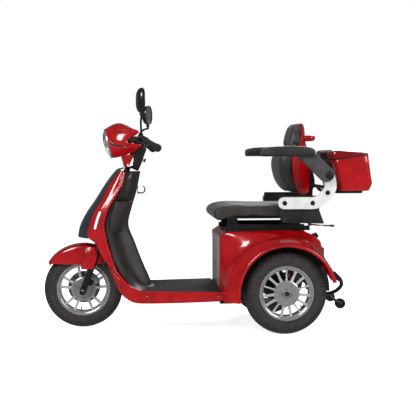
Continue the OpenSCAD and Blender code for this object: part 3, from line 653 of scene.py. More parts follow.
# Light strip and red reflector on each side shell
piece("side_light_strips", both(slab(band([(91, 616), (77, 577), (66, 536)], 6.5), -173, -161)), STRIP_LENS,
      "chassis", "front_markers", bevel=2, segments=3)
piece("side_reflectors", both(slab(band([(143, 322), (165, 282), (193, 240)], 6), -193, -178)), RED_LENS,
      "chassis", bevel=2, segments=3)

# ---------- rear body ----------

ARCH_R = 240
# Angle round the rear arch, the shoulder of the mudguard and the edge of the body, each as X, Z and half width.
BODY_STATIONS = [
    (190, (716, 171, 290), (707, 170, 238)), (181, (719, 212, 288), (708, 214, 212)),
    (170, (728, 262, 286), (709, 264, 202)), (155, (752, 335, 284), (712, 330, 201)),
    (141, (790, 398, 284), (716, 396, 205)), (132, (818, 430, 284), (721, 452, 213)),
    (125, (846, 452, 285), (730, 492, 220)), (117, (886, 471, 286), (750, 511, 225)),
    (107, (946, 487, 287), (810, 518, 228)), (90, (1026, 497, 288), (940, 521, 228)),
    (70, (1106, 486, 288), (1060, 521, 227)), (54, (1170, 453, 287), (1140, 510, 224)),
    (40, (1216, 405, 286), (1196, 486, 217)), (27, (1246, 350, 287), (1226, 438, 213)),
    (13, (1260, 280, 292), (1238, 330, 222)),
]
FACE_X, DECK_Z, TAIL_X = 706, 515.5, 1235


def body_row(i):
    """One row from the mudguard's inner lip over its crown and the body's edge to the middle."""
    turn, shoulder, edge = BODY_STATIONS[i]
    a = radians(turn)

    def arch(r, y):
        return REAR_X + r * cos(a), -y, REAR_R + r * sin(a)

    row = [arch(ARCH_R - 1, 350), arch(ARCH_R - 3, 361), arch(ARCH_R, 367), arch(ARCH_R + 6, 369.5),
           arch(ARCH_R + 13, 366), arch(ARCH_R + 19, 352), (shoulder[0], -shoulder[2] - 26, shoulder[1] - 5),
           (shoulder[0], -shoulder[2], shoulder[1]), (edge[0], -edge[2] - 12, edge[1] - 2),
           (edge[0], -edge[2], edge[1])]
    if turn > 121:
        inner = (FACE_X, edge[1])
    elif turn > 50:
        inner = (edge[0], DECK_Z)
    elif turn > 30:
        inner = (edge[0] - 4, edge[1] - 2)
    else:
        inner = (TAIL_X, edge[1] - (0 if turn > 20 else 118))
    return row + [(inner[0], -edge[2] + 14, inner[1]), (inner[0], -150, inner[1]), (inner[0], -60, inner[1]),
                  (inner[0], 0, inner[1])]


body_rows = smooth_rows([body_row(i) for i in range(len(BODY_STATIONS))], 3, 5)
piece("rear_body_shell", both(sheet(body_rows)), RED, "chassis", "rear_body", thick=3)
well = [(REAR_X + 246 * cos(radians(a)), REAR_R + 246 * sin(radians(a))) for a in range(-2, 183, 5)]
well += [(REAR_X + 120 * cos(radians(a)), REAR_R + 120 * sin(radians(a))) for a in range(178, 1, -11)]
piece("wheel_well_walls", both(slab(well, -221.5, -219)), SIDE_COVER, "chassis")


def upright_panel(x, y0, y1, z0, z1, depth, corner):
    """A panel that faces forward, with round corners and its face at x."""
    outline = rounded([(y0, z0), (y1, z0), (y1, z1), (y0, z1)], corner)
    points, faces = slab(outline, 0, depth)
    return [(x + d, y, z) for y, d, z in points], faces


piece("seat_box_front", upright_panel(701.6, -166, 166, 220, 490, 5, 26), FRONT_GREY, "chassis", "seatbox_cover",
      bevel=2, segments=4)
piece("seat_box_trim", joined(tube([(705.5, y * 176, z) for y, z in (
    (-1, 214), (-1, 330), (-1, 484), (-0.96, 496), (-0.5, 498), (0.5, 498), (0.96, 496), (1, 484), (1, 330), (1, 214))],
    4, steps=6, sides=10)), RED, "chassis")
piece("seat_box_lock", joined(
    spindle([(0, 5), (4, 5.4), (8, 4.4), (9, 3), (9, 0)], (702, 0, 330), (-1, 0, 0), 36),
    block((696.3, -3.2, 329.2), (698, 3.2, 330.8))), STEEL, "chassis", bevel=0.3)

# Tail lamps, the clamps on the deck behind the seat, and the hooks of the cover
piece("tail_lamps", both(upright_panel(1235, -212, -132, 382, 428, 11, 10)), RED_LENS, "chassis", "tail_lights",
      bevel=3, segments=4)
piece("tail_lamp_frames", both(upright_panel(1234.4, -216, -128, 378, 432, 5, 12)), BLACK_PLASTIC, "chassis",
      bevel=1)
piece("deck_clamps", both(joined(
    slab(rounded([(1190, 484), (1216, 478), (1222, 492), (1205, 503), (1188, 500)], 5), -192, -168),
    spindle([(0, 12), (5, 11.5), (8, 8), (8.6, 0)], (1205, -180, 494), (0.3, 0, 1), 24))), BLACK_PLASTIC,
    "chassis", bevel=1.6, segments=3)

# Bumper of bent tube, with the arms of the anti-tip wheels
half_bumper = [(1197, -158, 240), (1232, -164, 212), (1269, -170, 184), (1305, -188, 195), (1330, -200, 216),
               (1341, -200, 236), (1340, -190, 252), (1340, -150, 254)]
bumper_line = half_bumper + [(x, -y, z) for x, y, z in reversed(half_bumper)]
piece("bumper_tube", tube(bumper_line, 10, steps=6, sides=20), BLACK_STEEL, "chassis", "rear_bumper")
piece("bumper_uprights", both(joined(
    tube([(1340, -186, 250), (1336, -197, 262), (1318, -202, 282), (1300, -205, 298)], 8, sides=18),
    rod((1269, -140, 184), (1269, -168, 184), 8),
    tube([(1269, -138, 184), (1310, -138, 152), (1355, -138, 121)], 8, sides=18),
    rod((1355, -144, 121), (1355, -104, 121), 4.9))), BLACK_STEEL, "chassis")
piece("bumper_caps", both(spindle([(0, 5), (6, 4), (9, 0), (9, -8), (8, -10)], (1299, -205.4, 299),
                                  (-0.64, -0.1, 0.78), 24)), BLACK_PLASTIC, "chassis")
anti_tip_profile = [(5.5, -13), (14, -13), (16, -9), (20, -9), (22, -13), (25.5, -12.4), (27, -9), (27, 9),
                    (25.5, 12.4), (22, 13), (20, 9), (16, 9), (14, 13), (5.5, 13)]
piece("anti_tip_rollers", both(shifted(turned(anti_tip_profile, 48), 1355, -116, 121)), BLACK_PLASTIC, "anti_tip",
      "anti_tip_wheels", bevel=0.8)

# ---------- steering ----------

RAKE = radians(20.3)
GRIP_START = Vector((312, -212, 985))
GRIP_OUT = Vector((0.487, -0.82, -0.3)).normalized()
GRIP_BACK = Vector((0.82, 0.487, 0)).normalized()
ON_GRIP = Matrix((GRIP_OUT, GRIP_BACK, GRIP_OUT.cross(GRIP_BACK))).transposed().to_4x4()
ON_GRIP.translation = GRIP_START
ON_STEERING = Matrix.Translation((0, 0, FRONT_R)) @ Matrix.Rotation(RAKE, 4, "Y")
LAMP_TILT = radians(14)
LAMP_CENTRE = Vector((133, 0, 968))
LAMP_AXIS = Vector((-cos(LAMP_TILT), 0, -sin(LAMP_TILT)))
LAMP_R = 78


def lamp_ring(turn, r=LAMP_R, ahead=0.0):
    """A point on a circle round the lamp's axis: 0 at the top and 90 on the left."""
    a = radians(turn)
    up = Vector((-sin(LAMP_TILT), 0, cos(LAMP_TILT)))
    return LAMP_CENTRE + LAMP_AXIS * ahead + up * r * cos(a) + Vector((0, -1, 0)) * r * sin(a)


# Rear edge of the cowl, from the top round to the bottom: angle, X, half width and Z.
# Each side has an upper and a lower finger, with the handlebar's mouth between them.
COWL_EDGE = [
    (0, 240, 0, 1058), (15, 243, 44, 1055), (28, 255, 78, 1046), (40, 288, 100, 1032), (48, 286, 106, 1022),
    (60, 262, 112, 1008), (74, 240, 116, 992), (88, 226, 118, 978), (97, 232, 118, 971), (108, 262, 117, 966),
    (118, 298, 112, 961), (128, 296, 104, 952), (142, 275, 84, 934), (156, 245, 62, 918), (168, 222, 40, 907),
    (180, 208, 0, 903),
]


def cowl_line(turn, x, half, z, inset=0):
    """One line back along the cowl from the lamp to the rear edge, swelling over the sides and the top."""
    start = lamp_ring(turn, LAMP_R - inset, -1.0)
    end = Vector((x, -max(half - inset, 0), z))
    line = []
    for share in (0, 0.07, 0.2, 0.4, 0.62, 0.82, 1):
        swell = 1 - (1 - share) ** 2.1
        y = start.y + (end.y - start.y) * swell
        top = 20 * sin(pi * share ** 1.15) * max(0, cos(radians(turn)))
        low = -5 * sin(pi * share) * max(0, -cos(radians(turn)))
        line.append((start.x + (end.x - start.x) * share, y, start.z + (end.z - start.z) * swell + top + low))
    return line


cowl = smooth_rows([cowl_line(*edge) for edge in COWL_EDGE], 4, 4)
piece("headlamp_cowl", both(sheet(cowl)), RED, "steering", "nacelle", thick=3)
inner_cowl = smooth_rows([cowl_line(*edge, inset=6) for edge in COWL_EDGE], 2, 2)
cowl_back = [[(p[0] - 5, p[1] * s, p[2]) for s in (1, 0.5, 0, -0.5, -1)] for p in (r[-1] for r in inner_cowl)]
piece("cowl_back_cover", sheet(cowl_back), BLACK_PLASTIC, "steering")
edge_line = [Vector(r[-1]) for r in cowl]
piece("cowl_edge_bead", both(tube(edge_line[6:-6], 2.4, steps=1, sides=10)), RED, "steering")
SILVER_EDGE = BRIGHT_ALLOY[0], "lamp_reflector"
bezel = [(LAMP_R - 9, -2), (LAMP_R - 7.5, 3.4), (LAMP_R - 4, 5.4), (LAMP_R - 0.5, 4.4), (LAMP_R + 1.2, 1),
         (LAMP_R + 1, -5), (LAMP_R - 3, -6)]
piece("headlamp_bezel", spindle(bezel, LAMP_CENTRE, LAMP_AXIS, 96), SILVER_EDGE, "steering")
LENS_R = 70
dome = [(LENS_R * sin(pi / 2 * k / 12), -2 + 25 * cos(pi / 2 * k / 12)) for k in range(12, -1, -1)]
lens = spindle(dome, LAMP_CENTRE, LAMP_AXIS, 96)
piece("headlamp_lens_dome", lens, LENS, "steering", "headlamp_lens", thick=2.2)
dish = [(LENS_R, 0), (66, -6), (60, -14), (48, -24), (34, -31), (20, -35), (9, -36), (9, -28), (7, -20), (0, -16)]
piece("headlamp_dish", spindle(dish, LAMP_CENTRE, LAMP_AXIS, 72), CHROME, "steering", "headlamp_reflector")
flutes = [rod(lamp_ring(t, 10, -34), lamp_ring(t, 65, -9), 1.1, 8) for t in range(0, 360, 15)]
piece("headlamp_flutes", joined(*flutes), CHROME, "steering")

def on_cowl(back, down, away):
    """A point off the cowl's left side, by its shares of the way back from the lamp and down from the top."""
    row, column = down * (len(cowl) - 1), back * (len(cowl[0]) - 1)
    i, j = int(row), int(column)
    upper = Vector(cowl[i][j]).lerp(Vector(cowl[i][j + 1]), column - j)
    lower = Vector(cowl[i + 1][j]).lerp(Vector(cowl[i + 1][j + 1]), column - j)
    return upper.lerp(lower, row - i) + Vector((0, -away, 0))


def signal(width, away, start, end):
    """A slanted slot on the cowl's side: a smoked lens in its frame."""
    rows = []
    for k in range(13):
        share = start + (end - start) * k / 12
        half = width * sin(pi * (0.12 + 0.76 * k / 12)) ** 0.6
        rows.append([on_cowl(0.2 + 0.4 * share, 0.46 + 0.22 * share + half * s, away)
                     for s in (-1, -0.6, 0, 0.6, 1)])
    return both(sheet(rows))


# Dark blocks inside the cowl's mouths beside the handlebar: a painted shadow that fills the mouths.
mouth_shade_block = rounded([(230, 984), (250, 1003), (300, 1006), (316, 990), (300, 974), (240, 972)], 6)
piece("cowl_mouth_shade_blocks", both(slab(mouth_shade_block, -108, -84)), BLACK_PLASTIC, "steering", bevel=2)
piece("side_signal_frames", signal(0.064, 0.8, 0, 1), SILVER_EDGE, "steering", thick=1.4, inward=1)
piece("side_signal_lenses", signal(0.048, 2.4, 0.06, 0.94), SMOKED, "steering", thick=1.2, inward=1)

dash_side = rounded([(201, 1056), (216, 1061), (258, 1043), (262, 1033), (248, 1026), (204, 1034)], 4)
piece("dash_housing", slab(dash_side, -67, 67), BLACK_PLASTIC, "steering", "dash_panel", bevel=3, segments=3)
DASH_UP = Vector((0.42, 0, 0.91)).normalized()


def on_dash(x, y, lift=0.0):
    """A point on the sloping face of the dash, as distance back along it and across it."""
    start = Vector((217, 0, 1061.4))
    along = Vector((42, 0, -18.2)).normalized()
    return start + along * x + Vector((0, y, 0)) + DASH_UP * lift


display = [on_dash(x, y, 0.4) for x, y in rounded([(4, -44), (30, -44), (30, 14), (4, 14)], 5)]
piece("dash_display", (display + [p - DASH_UP * 1.5 for p in display],
      [tuple(range(len(display)))] + [(i, (i + 1) % len(display), (i + 1) % len(display) + len(display),
                                      i + len(display)) for i in range(len(display))]),
      DASH, "steering", bevel=0.5)
knob = [(0, 9.5), (6.2, 9.3), (7.4, 8), (8.2, 2.4), (10.4, 1.6), (10.8, 0), (0, 0)]
piece("speed_knob", spindle(knob, on_dash(17, 42), DASH_UP, 36), BLACK_PLASTIC, "steering", bevel=0.4)
piece("speed_knob_pointer", moved(block((-0.8, 9.2, -6), (0.8, 11.0, 0)), pointing(on_dash(17, 42), DASH_UP)),
      BUTTON, "steering")

# Z, front X, rear X and half width
NECK_ROWS = [(845, 214, 238, 56), (852, 213, 240, 54), (860, 211, 243, 50), (880, 206, 252, 47),
             (898, 201, 262, 49), (908, 201, 266, 54)]


def neck_row(z, front, rear, half):
    side = [(rear, half, z), (front + 26, half, z), (front + 10, half * 0.86, z), (front + 2, half * 0.5, z)]
    return [(x, -y, z) for x, y, z in side] + [(front, 0, z)] + [(x, y, z) for x, y, z in reversed(side)]


neck_rows = [neck_row(*row) for row in NECK_ROWS]
piece("neck_cover_shell", curved(neck_rows, 3, 3), RED, "steering", "neck_cover", thick=2.5)
column_rows = [[(x0, -w, z0), (x0 + (x1 - x0) * 0.5, -w - 2, (z0 + z1) / 2), (x1 - 8, -w + 2, z1),
                (x1 - 1, -w + 9, z1), (x1, -w * 0.5, z1), (x1 + 1, 0, z1), (x1, w * 0.5, z1),
                (x1 - 1, w - 9, z1), (x1 - 8, w - 2, z1), (x0 + (x1 - x0) * 0.5, w + 2, (z0 + z1) / 2), (x0, w, z0)]
               for x0, z0, x1, z1, w in (
                   (238, 843, 290, 826, 44), (246, 866, 301, 850, 47), (258, 896, 314, 884, 50),
                   (262, 926, 326, 918, 50), (264, 950, 333, 938, 50), (266, 962, 326, 954, 48),
                   (268, 966, 316, 964, 44))]
piece("column_cover_shell", curved(column_rows, 3, 4), BLACK_PLASTIC, "steering", "column_cover", thick=2.5)
escutcheon = moved(spindle([(9, 0), (12.5, 0), (13, 1.5), (11, 3), (8.6, 3), (8.6, 0)], (53.5, 0, 745), (1, 0, 0), 36),
                   ON_STEERING)
piece("key_escutcheon", escutcheon, STEEL, "steering")
piece("ignition_barrel", moved(spindle([(0, 0), (7.6, 0), (7.6, 7.5), (6.8, 8.8), (0, 8.8)], (52.5, 0, 745),
                                       (1, 0, 0), 36), ON_STEERING), STEEL, "key", "ignition_key")
bow = rounded([(61.5, 742), (61.5, 748), (66, 750), (68, 755.6), (75.2, 755.6), (75.2, 734.6), (68, 734.6),
               (66, 740)], 2.6)
piece("key_bow", moved(slab(bow, -1.6, 1.6), ON_STEERING), BLACK_PLASTIC, "key", bevel=0.8)

# Grips: soft flanged sleeves with ribs every 10 mm
grip_profile = [(11.3, 22), (20.6, 22), (21, 23.5), (21, 26), (20.2, 27.2), (16.4, 28)]
for k in range(11):
    s = 31 + 8.2 * k
    grip_profile += [(15.8, s), (17.0, s + 1.4), (17.0, s + 4.6), (15.8, s + 6)]
grip_profile += [(16.6, 122), (19.4, 124), (20, 126), (20, 143), (18.4, 147), (14, 148.4), (0, 148.6)]
left_grip_shape = moved(spindle(grip_profile, (0, 0, 0), (1, 0, 0), 40), ON_GRIP)
piece("left_hand_grip", left_grip_shape, GRIP, "steering", "left_grip")
piece("throttle_hand_grip", other_side(left_grip_shape), GRIP, "throttle", "throttle_grip")

POD_IN, POD_OUT = Vector((304, -152, 989.6)), Vector((311, -205, 985.5))
pod_length = (POD_OUT - POD_IN).length
pod_profile = [(12, 0), (18, 0), (20.4, 2), (21, 5), (21, 24), (19.6, 25), (19.6, 27), (21, 28),
               (21, pod_length - 5), (20, pod_length - 1.5), (17, pod_length), (12, pod_length)]
pod = spindle(pod_profile, POD_IN, POD_OUT - POD_IN, 48)
ears = moved(joined(plan_slab(rounded([(-21, -43), (5, -43), (5, -12), (-21, -12)], 6), 5.6, 12),
                    plan_slab(rounded([(-21, -43), (5, -43), (5, -12), (-21, -12)], 6), -12, -5.6),
                    spindle([(0, 14), (5, 13.6), (6, 12), (6, -12), (5, -13.6), (0, -14)], (-8, -34, 0),
                            (0, 0, 1), 24)), ON_GRIP)
piece("control_pod_housings", both(joined(pod, ears)), BLACK_PLASTIC, "steering", "control_pods", bevel=0.6)
socket = spindle([(6.1, 0), (9, 0), (9.4, 1.5), (8.4, 3.2), (6.1, 3.2)], (305, -165, 1006), (0, 0, 1), 32)
piece("horn_button_collars", both(socket), STEEL, "steering")
button_profile = [(0, 10.8), (4, 10.4), (5.4, 9), (5.9, 6.5), (5.9, 0), (0, 0)]
piece("horn_button_cap", spindle(button_profile, (305, -165, 1004), (0, 0, 1), 36), BUTTON, "horn", "horn_button")

lever_line = [(-8, -34, 0), (8, -42, 0), (26, -48.5, 0), (60, -50.5, 0), (95, -50, 0), (112, -49.5, 0)]
lever_blade = tube(lever_line, lambda share: 6.4 - 1.8 * share, steps=8, sides=18)
lever = moved(joined(([(x, y, z * 0.74) for x, y, z in lever_blade[0]], lever_blade[1]),
                     spindle([(0, 5), (6, 5), (7, 4), (7, -4), (6, -5), (0, -5)], (-8, -34, 0), (0, 0, 1), 28),
                     spindle([(8 * sin(radians(a)), -8 * cos(radians(a))) for a in range(0, 181, 15)],
                             (118, -49.5, 0), (1, 0, 0), 28)), ON_GRIP)
piece("brake_lever_blade_left", lever, BLACK_STEEL, "lever_left", "brake_lever_left")
piece("brake_lever_blade_right", other_side(lever), BLACK_STEEL, "lever_right", "brake_lever_right")

# Mirrors: stem, ball, bowl and glass
LEFT_BALL, RIGHT_BALL = Vector((302, -266, 1129)), Vector((350, 268, 1086))


def mirror_stem(foot, ball):
    line = [foot, foot + Vector((0, 0, 12)), foot.lerp(ball, 0.3) + Vector((-2, 0, 4)),
            foot.lerp(ball, 0.68) + Vector((-2, 0, -12)), ball - Vector((0, 0, 30)), ball - Vector((0, 0, 13))]
    nut = spindle([(0, -5), (9, -5), (9.6, -2), (9.6, 5), (7, 7.5), (0, 7.5)], foot, (0, 0, 1), 6)
    cup = spindle([(0, 0), (7, 0), (9, 3), (9.4, 10), (8.6, 13.4), (0, 13.4)], ball - Vector((0, 0, 24)),
                  (0, 0, 1), 28)
    return joined(tube(line, 5.4, steps=8, sides=18), nut, cup)


piece("mirror_stem_pair", joined(mirror_stem(Vector((303, -192, 1013)), LEFT_BALL),
                                 mirror_stem(Vector((303, 192, 1013)), RIGHT_BALL)), BLACK_STEEL, "steering",
      "mirror_stems")


def mirror_frame(ball, lift, turn):
    """A matrix whose X is across the glass, Y up it and Z out of it, turned about the ball's upright axis."""
    frame_of = Matrix((Vector((0, 1, 0)), Vector((0, 0, 1)), Vector((1, 0, 0)))).transposed().to_4x4()
    return Matrix.Translation(ball + Vector((0, 0, lift))) @ Matrix.Rotation(radians(turn), 4, "Z") @ frame_of


def oval(width, height, depth, square=0.86, steps=56):
    row = []
    for i in range(steps):
        a = 2 * pi * i / steps
        c, s = cos(a), sin(a)
        row.append((width / 2 * abs(c) ** square * (1 if c > 0 else -1),
                    height / 2 * abs(s) ** square * (1 if s > 0 else -1), depth))
    return row


def mirror(name, ball, width, height, lift, turn, body, node):
    on = mirror_frame(ball, lift, turn)
    bowl = [oval(width * s, height * s, d) for s, d in (
        (0.93, 5.5), (0.94, 8), (0.985, 8), (1, 5.5), (0.995, 1), (0.95, -8), (0.85, -15), (0.68, -20.5), (0.4, -23.5),
        (0.12, -24.2), (0.01, -24.3))]
    neck = moved(spindle([(0, -2), (10, 0), (10.6, 8), (11.5, 18), (13, 30), (9, 38), (0, 40)], (0, -lift - 2, -3),
                         (0, 1, -0.12), 28), on)
    ball_shape = spindle([(11 * sin(radians(a)), -11 * cos(radians(a))) for a in range(24, 181, 12)], ball,
                         (0, 0, 1), 28)
    piece(name + "_shell", joined(moved(sheet(bowl, around=True), on), neck, ball_shape), MIRROR_SHELL, body, node)
    glass = [oval(width * s, height * s, 5.4 + 1.6 * (1 - s * s)) for s in (0.94, 0.93, 0.75, 0.5, 0.25, 0.02)]
    piece(name + "_glass", moved(sheet(glass, around=True), on), GLASS, body)


mirror("mirror_near", LEFT_BALL, 92, 128, 50, 14, "left_mirror", "mirror_left")
mirror("mirror_far", RIGHT_BALL, 118, 108, 42, -20, "right_mirror", "mirror_right")

# ---------- front fork and wheel ----------

LEG_Y = 90


leg_profile = [(0, -24), (9, -24), (13, -20), (16, -8), (17, 6), (17, 150), (17.6, 152), (17.6, 160), (16.6, 162),
               (16.6, 214), (18, 216), (18, 224), (15, 226), (13.3, 226)]
leg = moved(spindle(leg_profile, (0, -LEG_Y, 0), (0, 0, 1), 40), ON_STEERING)
dropout = moved(slab(rounded([(-13, 30), (-17, 4), (-10, -20), (8, -22), (19, -4), (15, 30)], 8), -LEG_Y - 9,
                     -LEG_Y + 9), ON_STEERING)
piece("fork_leg_castings", both(joined(leg, dropout)), BLACK_STEEL, "fork", "fork_lowers", bevel=1.5)
axle_nut = spindle([(6, 0), (14, 0), (15, 1.5), (15, 2.5), (11, 3), (10.5, 9), (9, 10.5), (5.5, 10.5), (5.5, 15),
                    (4, 16), (0, 16)], (0, -LEG_Y - 9, FRONT_R), (0, -1, 0), 6)
piece("front_axle_nuts", both(axle_nut), STEEL, "fork")
piece("front_axle_pin", rod((0, -LEG_Y - 18, FRONT_R), (0, LEG_Y + 18, FRONT_R), 5.9), STEEL, "fork")


def fender_row(turn, crown, half, drop):
    """One row across the front mudguard: a turned-in rim, its side and its crown."""
    a = radians(turn)

    def rim(r, y):
        return r * cos(a), y, FRONT_R + r * sin(a)

    side = [(crown - drop, half - 4), (crown - drop - 1, half), (crown - drop + 4, half + 1),
            (crown - drop * 0.45, half - 1), (crown - 13, half - 6), (crown - 3, half - 20), (crown, half * 0.45)]
    return [rim(r, -y) for r, y in side] + [rim(crown + 1.5, 0)] + [rim(r, y) for r, y in reversed(side)]


FENDER_ROWS = [
    (52, 226, 52, 53), (57, 231, 60, 69), (68, 236, 66, 89), (80, 239, 69, 108), (92, 239, 70, 103),
    (105, 238, 70, 97), (118, 237, 67, 83), (130, 235, 60, 58), (138, 232, 50, 29), (143, 229, 38, 10),
]
piece("front_mudguard", curved([fender_row(*r) for r in FENDER_ROWS], 3, 5), RED, "fork", "front_fender", thick=3)

# Skirts of the mudguard that cover the fork legs above the wheel
SKIRT_ROWS = [(432, 20, 84, 94), (410, 12, 80, 104), (380, 4, 74, 110), (350, -4, 66, 112), (326, -10, 58, 111),
              (318, -6, 52, 108)]
skirt = [[(x0, -y + 9, z), (x0 + 2, -y + 1, z), (x0 + 9, -y, z), (x0 + (x1 - x0) * 0.5, -y - 2, z),
          (x1 - 10, -y, z), (x1 - 2, -y + 2, z), (x1, -y + 11, z)] for z, x0, x1, y in SKIRT_ROWS]
piece("mudguard_leg_skirts", both(curved(skirt, 3, 4)), RED, "fork", thick=2.5)

caliper_arc = [(r * cos(radians(a)), FRONT_R + r * sin(radians(a))) for r, angles in (
    (101, range(26, 67, 5)), (58, range(66, 25, -5))) for a in angles]
caliper_side = rounded(caliper_arc, 5, 2)
piece("caliper_halves", joined(slab(caliper_side, -66, -57), slab(caliper_side, -52, -46)), HUB_ALLOY, "fork",
      "brake_caliper", bevel=2, segments=3)
piston = joined(*[spindle([(0, 7), (11, 7), (13, 5.5), (14, 2), (14, 0)], (x, -66, FRONT_R + z), (0, -1, 0), 32)
                  for x, z in ((66, 46), (46, 66))])
piece("caliper_pistons", piston, HUB_ALLOY, "fork")
piece("caliper_arm", slab(rounded([(8, FRONT_R + 20), (46, FRONT_R + 24), (58, FRONT_R + 40), (38, FRONT_R + 58),
                                   (12, FRONT_R + 46)], 6), -73, -67), BLACK_STEEL, "fork", bevel=1.2)
piece("brake_hose", tube([(68, -62, FRONT_R + 74), (88, -74, FRONT_R + 88), (100, -84, FRONT_R + 112),
                          (108, -92, FRONT_R + 138), (118, -92, FRONT_R + 160)], 3.4, steps=8, sides=12),
      STEEL, "fork")


def tyre(r, width, blocks, name, body, node, place_at):
    """A tyre turned round its axle, with a row of slanted shoulder blocks on each side of a ribbed crown."""
    half = width / 2
    per = 5
    profile = []
    for k in range(-15, 16):
        a = radians(k * 8.6)
        flat = 1 - 0.05 * max(0, cos(a)) ** 6
        rr = (r - half) + half * cos(a) * flat + half * (1 - flat) * max(0, cos(a)) ** 6
        profile.append((max(rr, 133), half * sin(a), k))
    rows = []
    for i in range(blocks * per):
        row = []
        for rr, y, k in profile:
            slant = (abs(k) - 6) * 0.5 if abs(k) <= 9 else 0
            step = (i + slant * (1 if y > 0 else -1)) % per
            groove = 0.0
            if 3 <= abs(k) <= 8 and step < 1.2:
                groove = 5.0
            if abs(k) == 2:
                groove = 3.6
            if abs(k) == 11:
                groove = -0.8
            if abs(k) == 14:
                groove = -1.4
            centre = Vector((r - half, 0))
            direction = (Vector((rr, y)) - centre)
            spot = Vector((rr, y)) - direction.normalized() * groove
            t = 2 * pi * i / (blocks * per)
            row.append((spot.x * cos(t), spot.y, spot.x * sin(t)))
        inner = [(131, half - 12), (131, -(half - 12))]
        t = 2 * pi * i / (blocks * per)
        row += [(q * cos(t), y, q * sin(t)) for q, y in inner]
        rows.append(row + [row[0]])
    rows.append(rows[0])
    shape = shifted(sheet(rows), *place_at)
    return piece(name, shape, TYRE, body, node, angle=50)


tyre(FRONT_R, 84, 72, "front_tyre_tread", "front_wheel", "front_tyre", (0, 0, FRONT_R))
tyre(REAR_R, 90, 76, "rear_tyre_tread_left", "rear_wheel_left", "rear_tyre_left", (REAR_X, -REAR_WHEEL_Y, REAR_R))
tyre(REAR_R, 90, 76, "rear_tyre_tread_right", "rear_wheel_right", "rear_tyre_right", (REAR_X, REAR_WHEEL_Y, REAR_R))


def spoke(turn, half_in, half_out, r_in, r_out, y_face, y_back):
    """One tapered cast spoke, its face rounded, running out to the rim."""
    rows = []
    for k in range(5):
        share = k / 4
        r = r_in + (r_out - r_in) * share
        half = half_in + (half_out - half_in) * share + 1.6 * (2 * share - 1) ** 4
        face = y_face + 5 * sin(pi * share)
        rows.append([(r, face + 3, half), (r, face + 0.6, half * 0.8), (r, face, half * 0.3), (r, face, -half * 0.3),
                     (r, face + 0.6, -half * 0.8), (r, face + 3, -half), (r, y_back, -half), (r, y_back, half)])
    shape = sheet(rows, around=True)
    return moved(shape, Matrix.Rotation(radians(-turn), 4, "Y"))


def rim_barrel(half):
    """The rim's section: bright outer lip, drop centre and plain inner lip."""
    return [(118, -half + 9), (124, -half + 2), (127, -half - 1), (134, -half - 2.5), (139, -half - 3),
            (140, -half - 1.6), (140, -half + 1.5), (133, -half + 3), (131, -half + 10), (124, -half + 22),
            (124, half - 20), (131, half - 10), (133, half - 3), (140, half), (140, half + 3), (132, half + 3),
            (127, half), (121, half - 8), (118, half - 18), (118, -half + 20), (118, -half + 9)]


def wheel(name, body, node, centre, flip, half, hub_r, disc, spokes, hub):
    """A cast wheel: barrel, bright disc, spokes, and the hub with its cap, all facing outwards."""
    turn = Matrix.Rotation(pi, 4, "Z") if flip else Matrix.Identity(4)
    spot = Matrix.Translation(centre) @ turn
    piece(name + "_barrel", moved(turned(rim_barrel(half), 96), spot), BRIGHT_ALLOY, body, node)
    piece(name + "_spokes", moved(joined(*spokes), spot), ALLOY, body, bevel=0.8)
    piece(name + "_disc", moved(turned(disc, 96), spot), BRIGHT_ALLOY, body)
    piece(name + "_hub", moved(turned(hub, 64), spot), HUB_ALLOY, body)


rear_spokes = []
for k in range(15):
    thin = k % 3 == 0
    rear_spokes.append(spoke(90 + 24 * k, 4.2 if thin else 6.4, 3.4 if thin else 6.0, 60, 121, -38, -22))
rear_disc = [(24, -43), (26, -45), (34, -45.5), (46, -44), (54, -43.5), (60, -42.5), (65, -40), (66, -34), (62, -24),
             (30, -24), (13, -24)]
rear_hub = [(0, -50.5), (12, -50.5), (19, -49), (22, -46.5), (23, -43), (30, -40), (34, -20), (40, 10), (46, 20),
            (46, 36), (30, 38), (12.3, 38)]
for side, name in ((-1, "left"), (1, "right")):
    wheel("rear_wheel_" + name, "rear_wheel_" + name, "rear_rim_" + name,
          (REAR_X, side * REAR_WHEEL_Y, REAR_R), side > 0, 39.3, 46, rear_disc, rear_spokes, rear_hub)
front_spokes = [spoke(90 + 72 * k + fork_side, 7.5, 5.5, 56, 121, -31, -10) for k in range(5)
                for fork_side in (-13, 13)]
front_disc = [(50, -37), (53, -38.5), (58, -38), (62, -35.5), (65, -31), (66, -24), (62, -12), (50, -9), (30, -9)]
front_hub = [(0, -48.5), (6.2, -48.5), (14, -48), (20, -46), (22, -43.5), (40, -43), (48, -41), (51, -37), (50, -30),
             (40, -8), (36, 20), (36, 49.6), (6.2, 49.6)]
wheel("front_wheel", "front_wheel", "front_rim", (0, 0, FRONT_R), False, 36.3, 36, front_disc, front_spokes,
      front_hub)


def valve(r, y, turn):
    shape = joined(spindle([(0, 0), (3.6, 0), (3.6, 5), (2.6, 7), (2.6, 20), (3.4, 20.5), (3.4, 27), (2, 28), (0, 28)],
                           (r, y, 0), (-1, -0.35, 0), 20))
    return moved(shape, Matrix.Rotation(radians(-turn), 4, "Y"))


piece("front_valve", shifted(valve(119, -22, 264), 0, 0, FRONT_R), BLACK_PLASTIC, "front_wheel")
piece("rear_valve_left", shifted(valve(119, -24, 318), REAR_X, -REAR_WHEEL_Y, REAR_R), BLACK_PLASTIC,
      "rear_wheel_left")
piece("rear_valve_right", shifted(other_side(valve(119, -24, 318)), REAR_X, REAR_WHEEL_Y, REAR_R), BLACK_PLASTIC,
      "rear_wheel_right")
piece("brake_disc_ring", shifted(turned([(22, 50), (84, 50), (85, 50.8), (85, 53.2), (84, 54), (22, 54), (22, 50)],
                                        72), 0, 0, FRONT_R), DISC, "front_wheel", "brake_disc")

# ---------- rear springs ----------

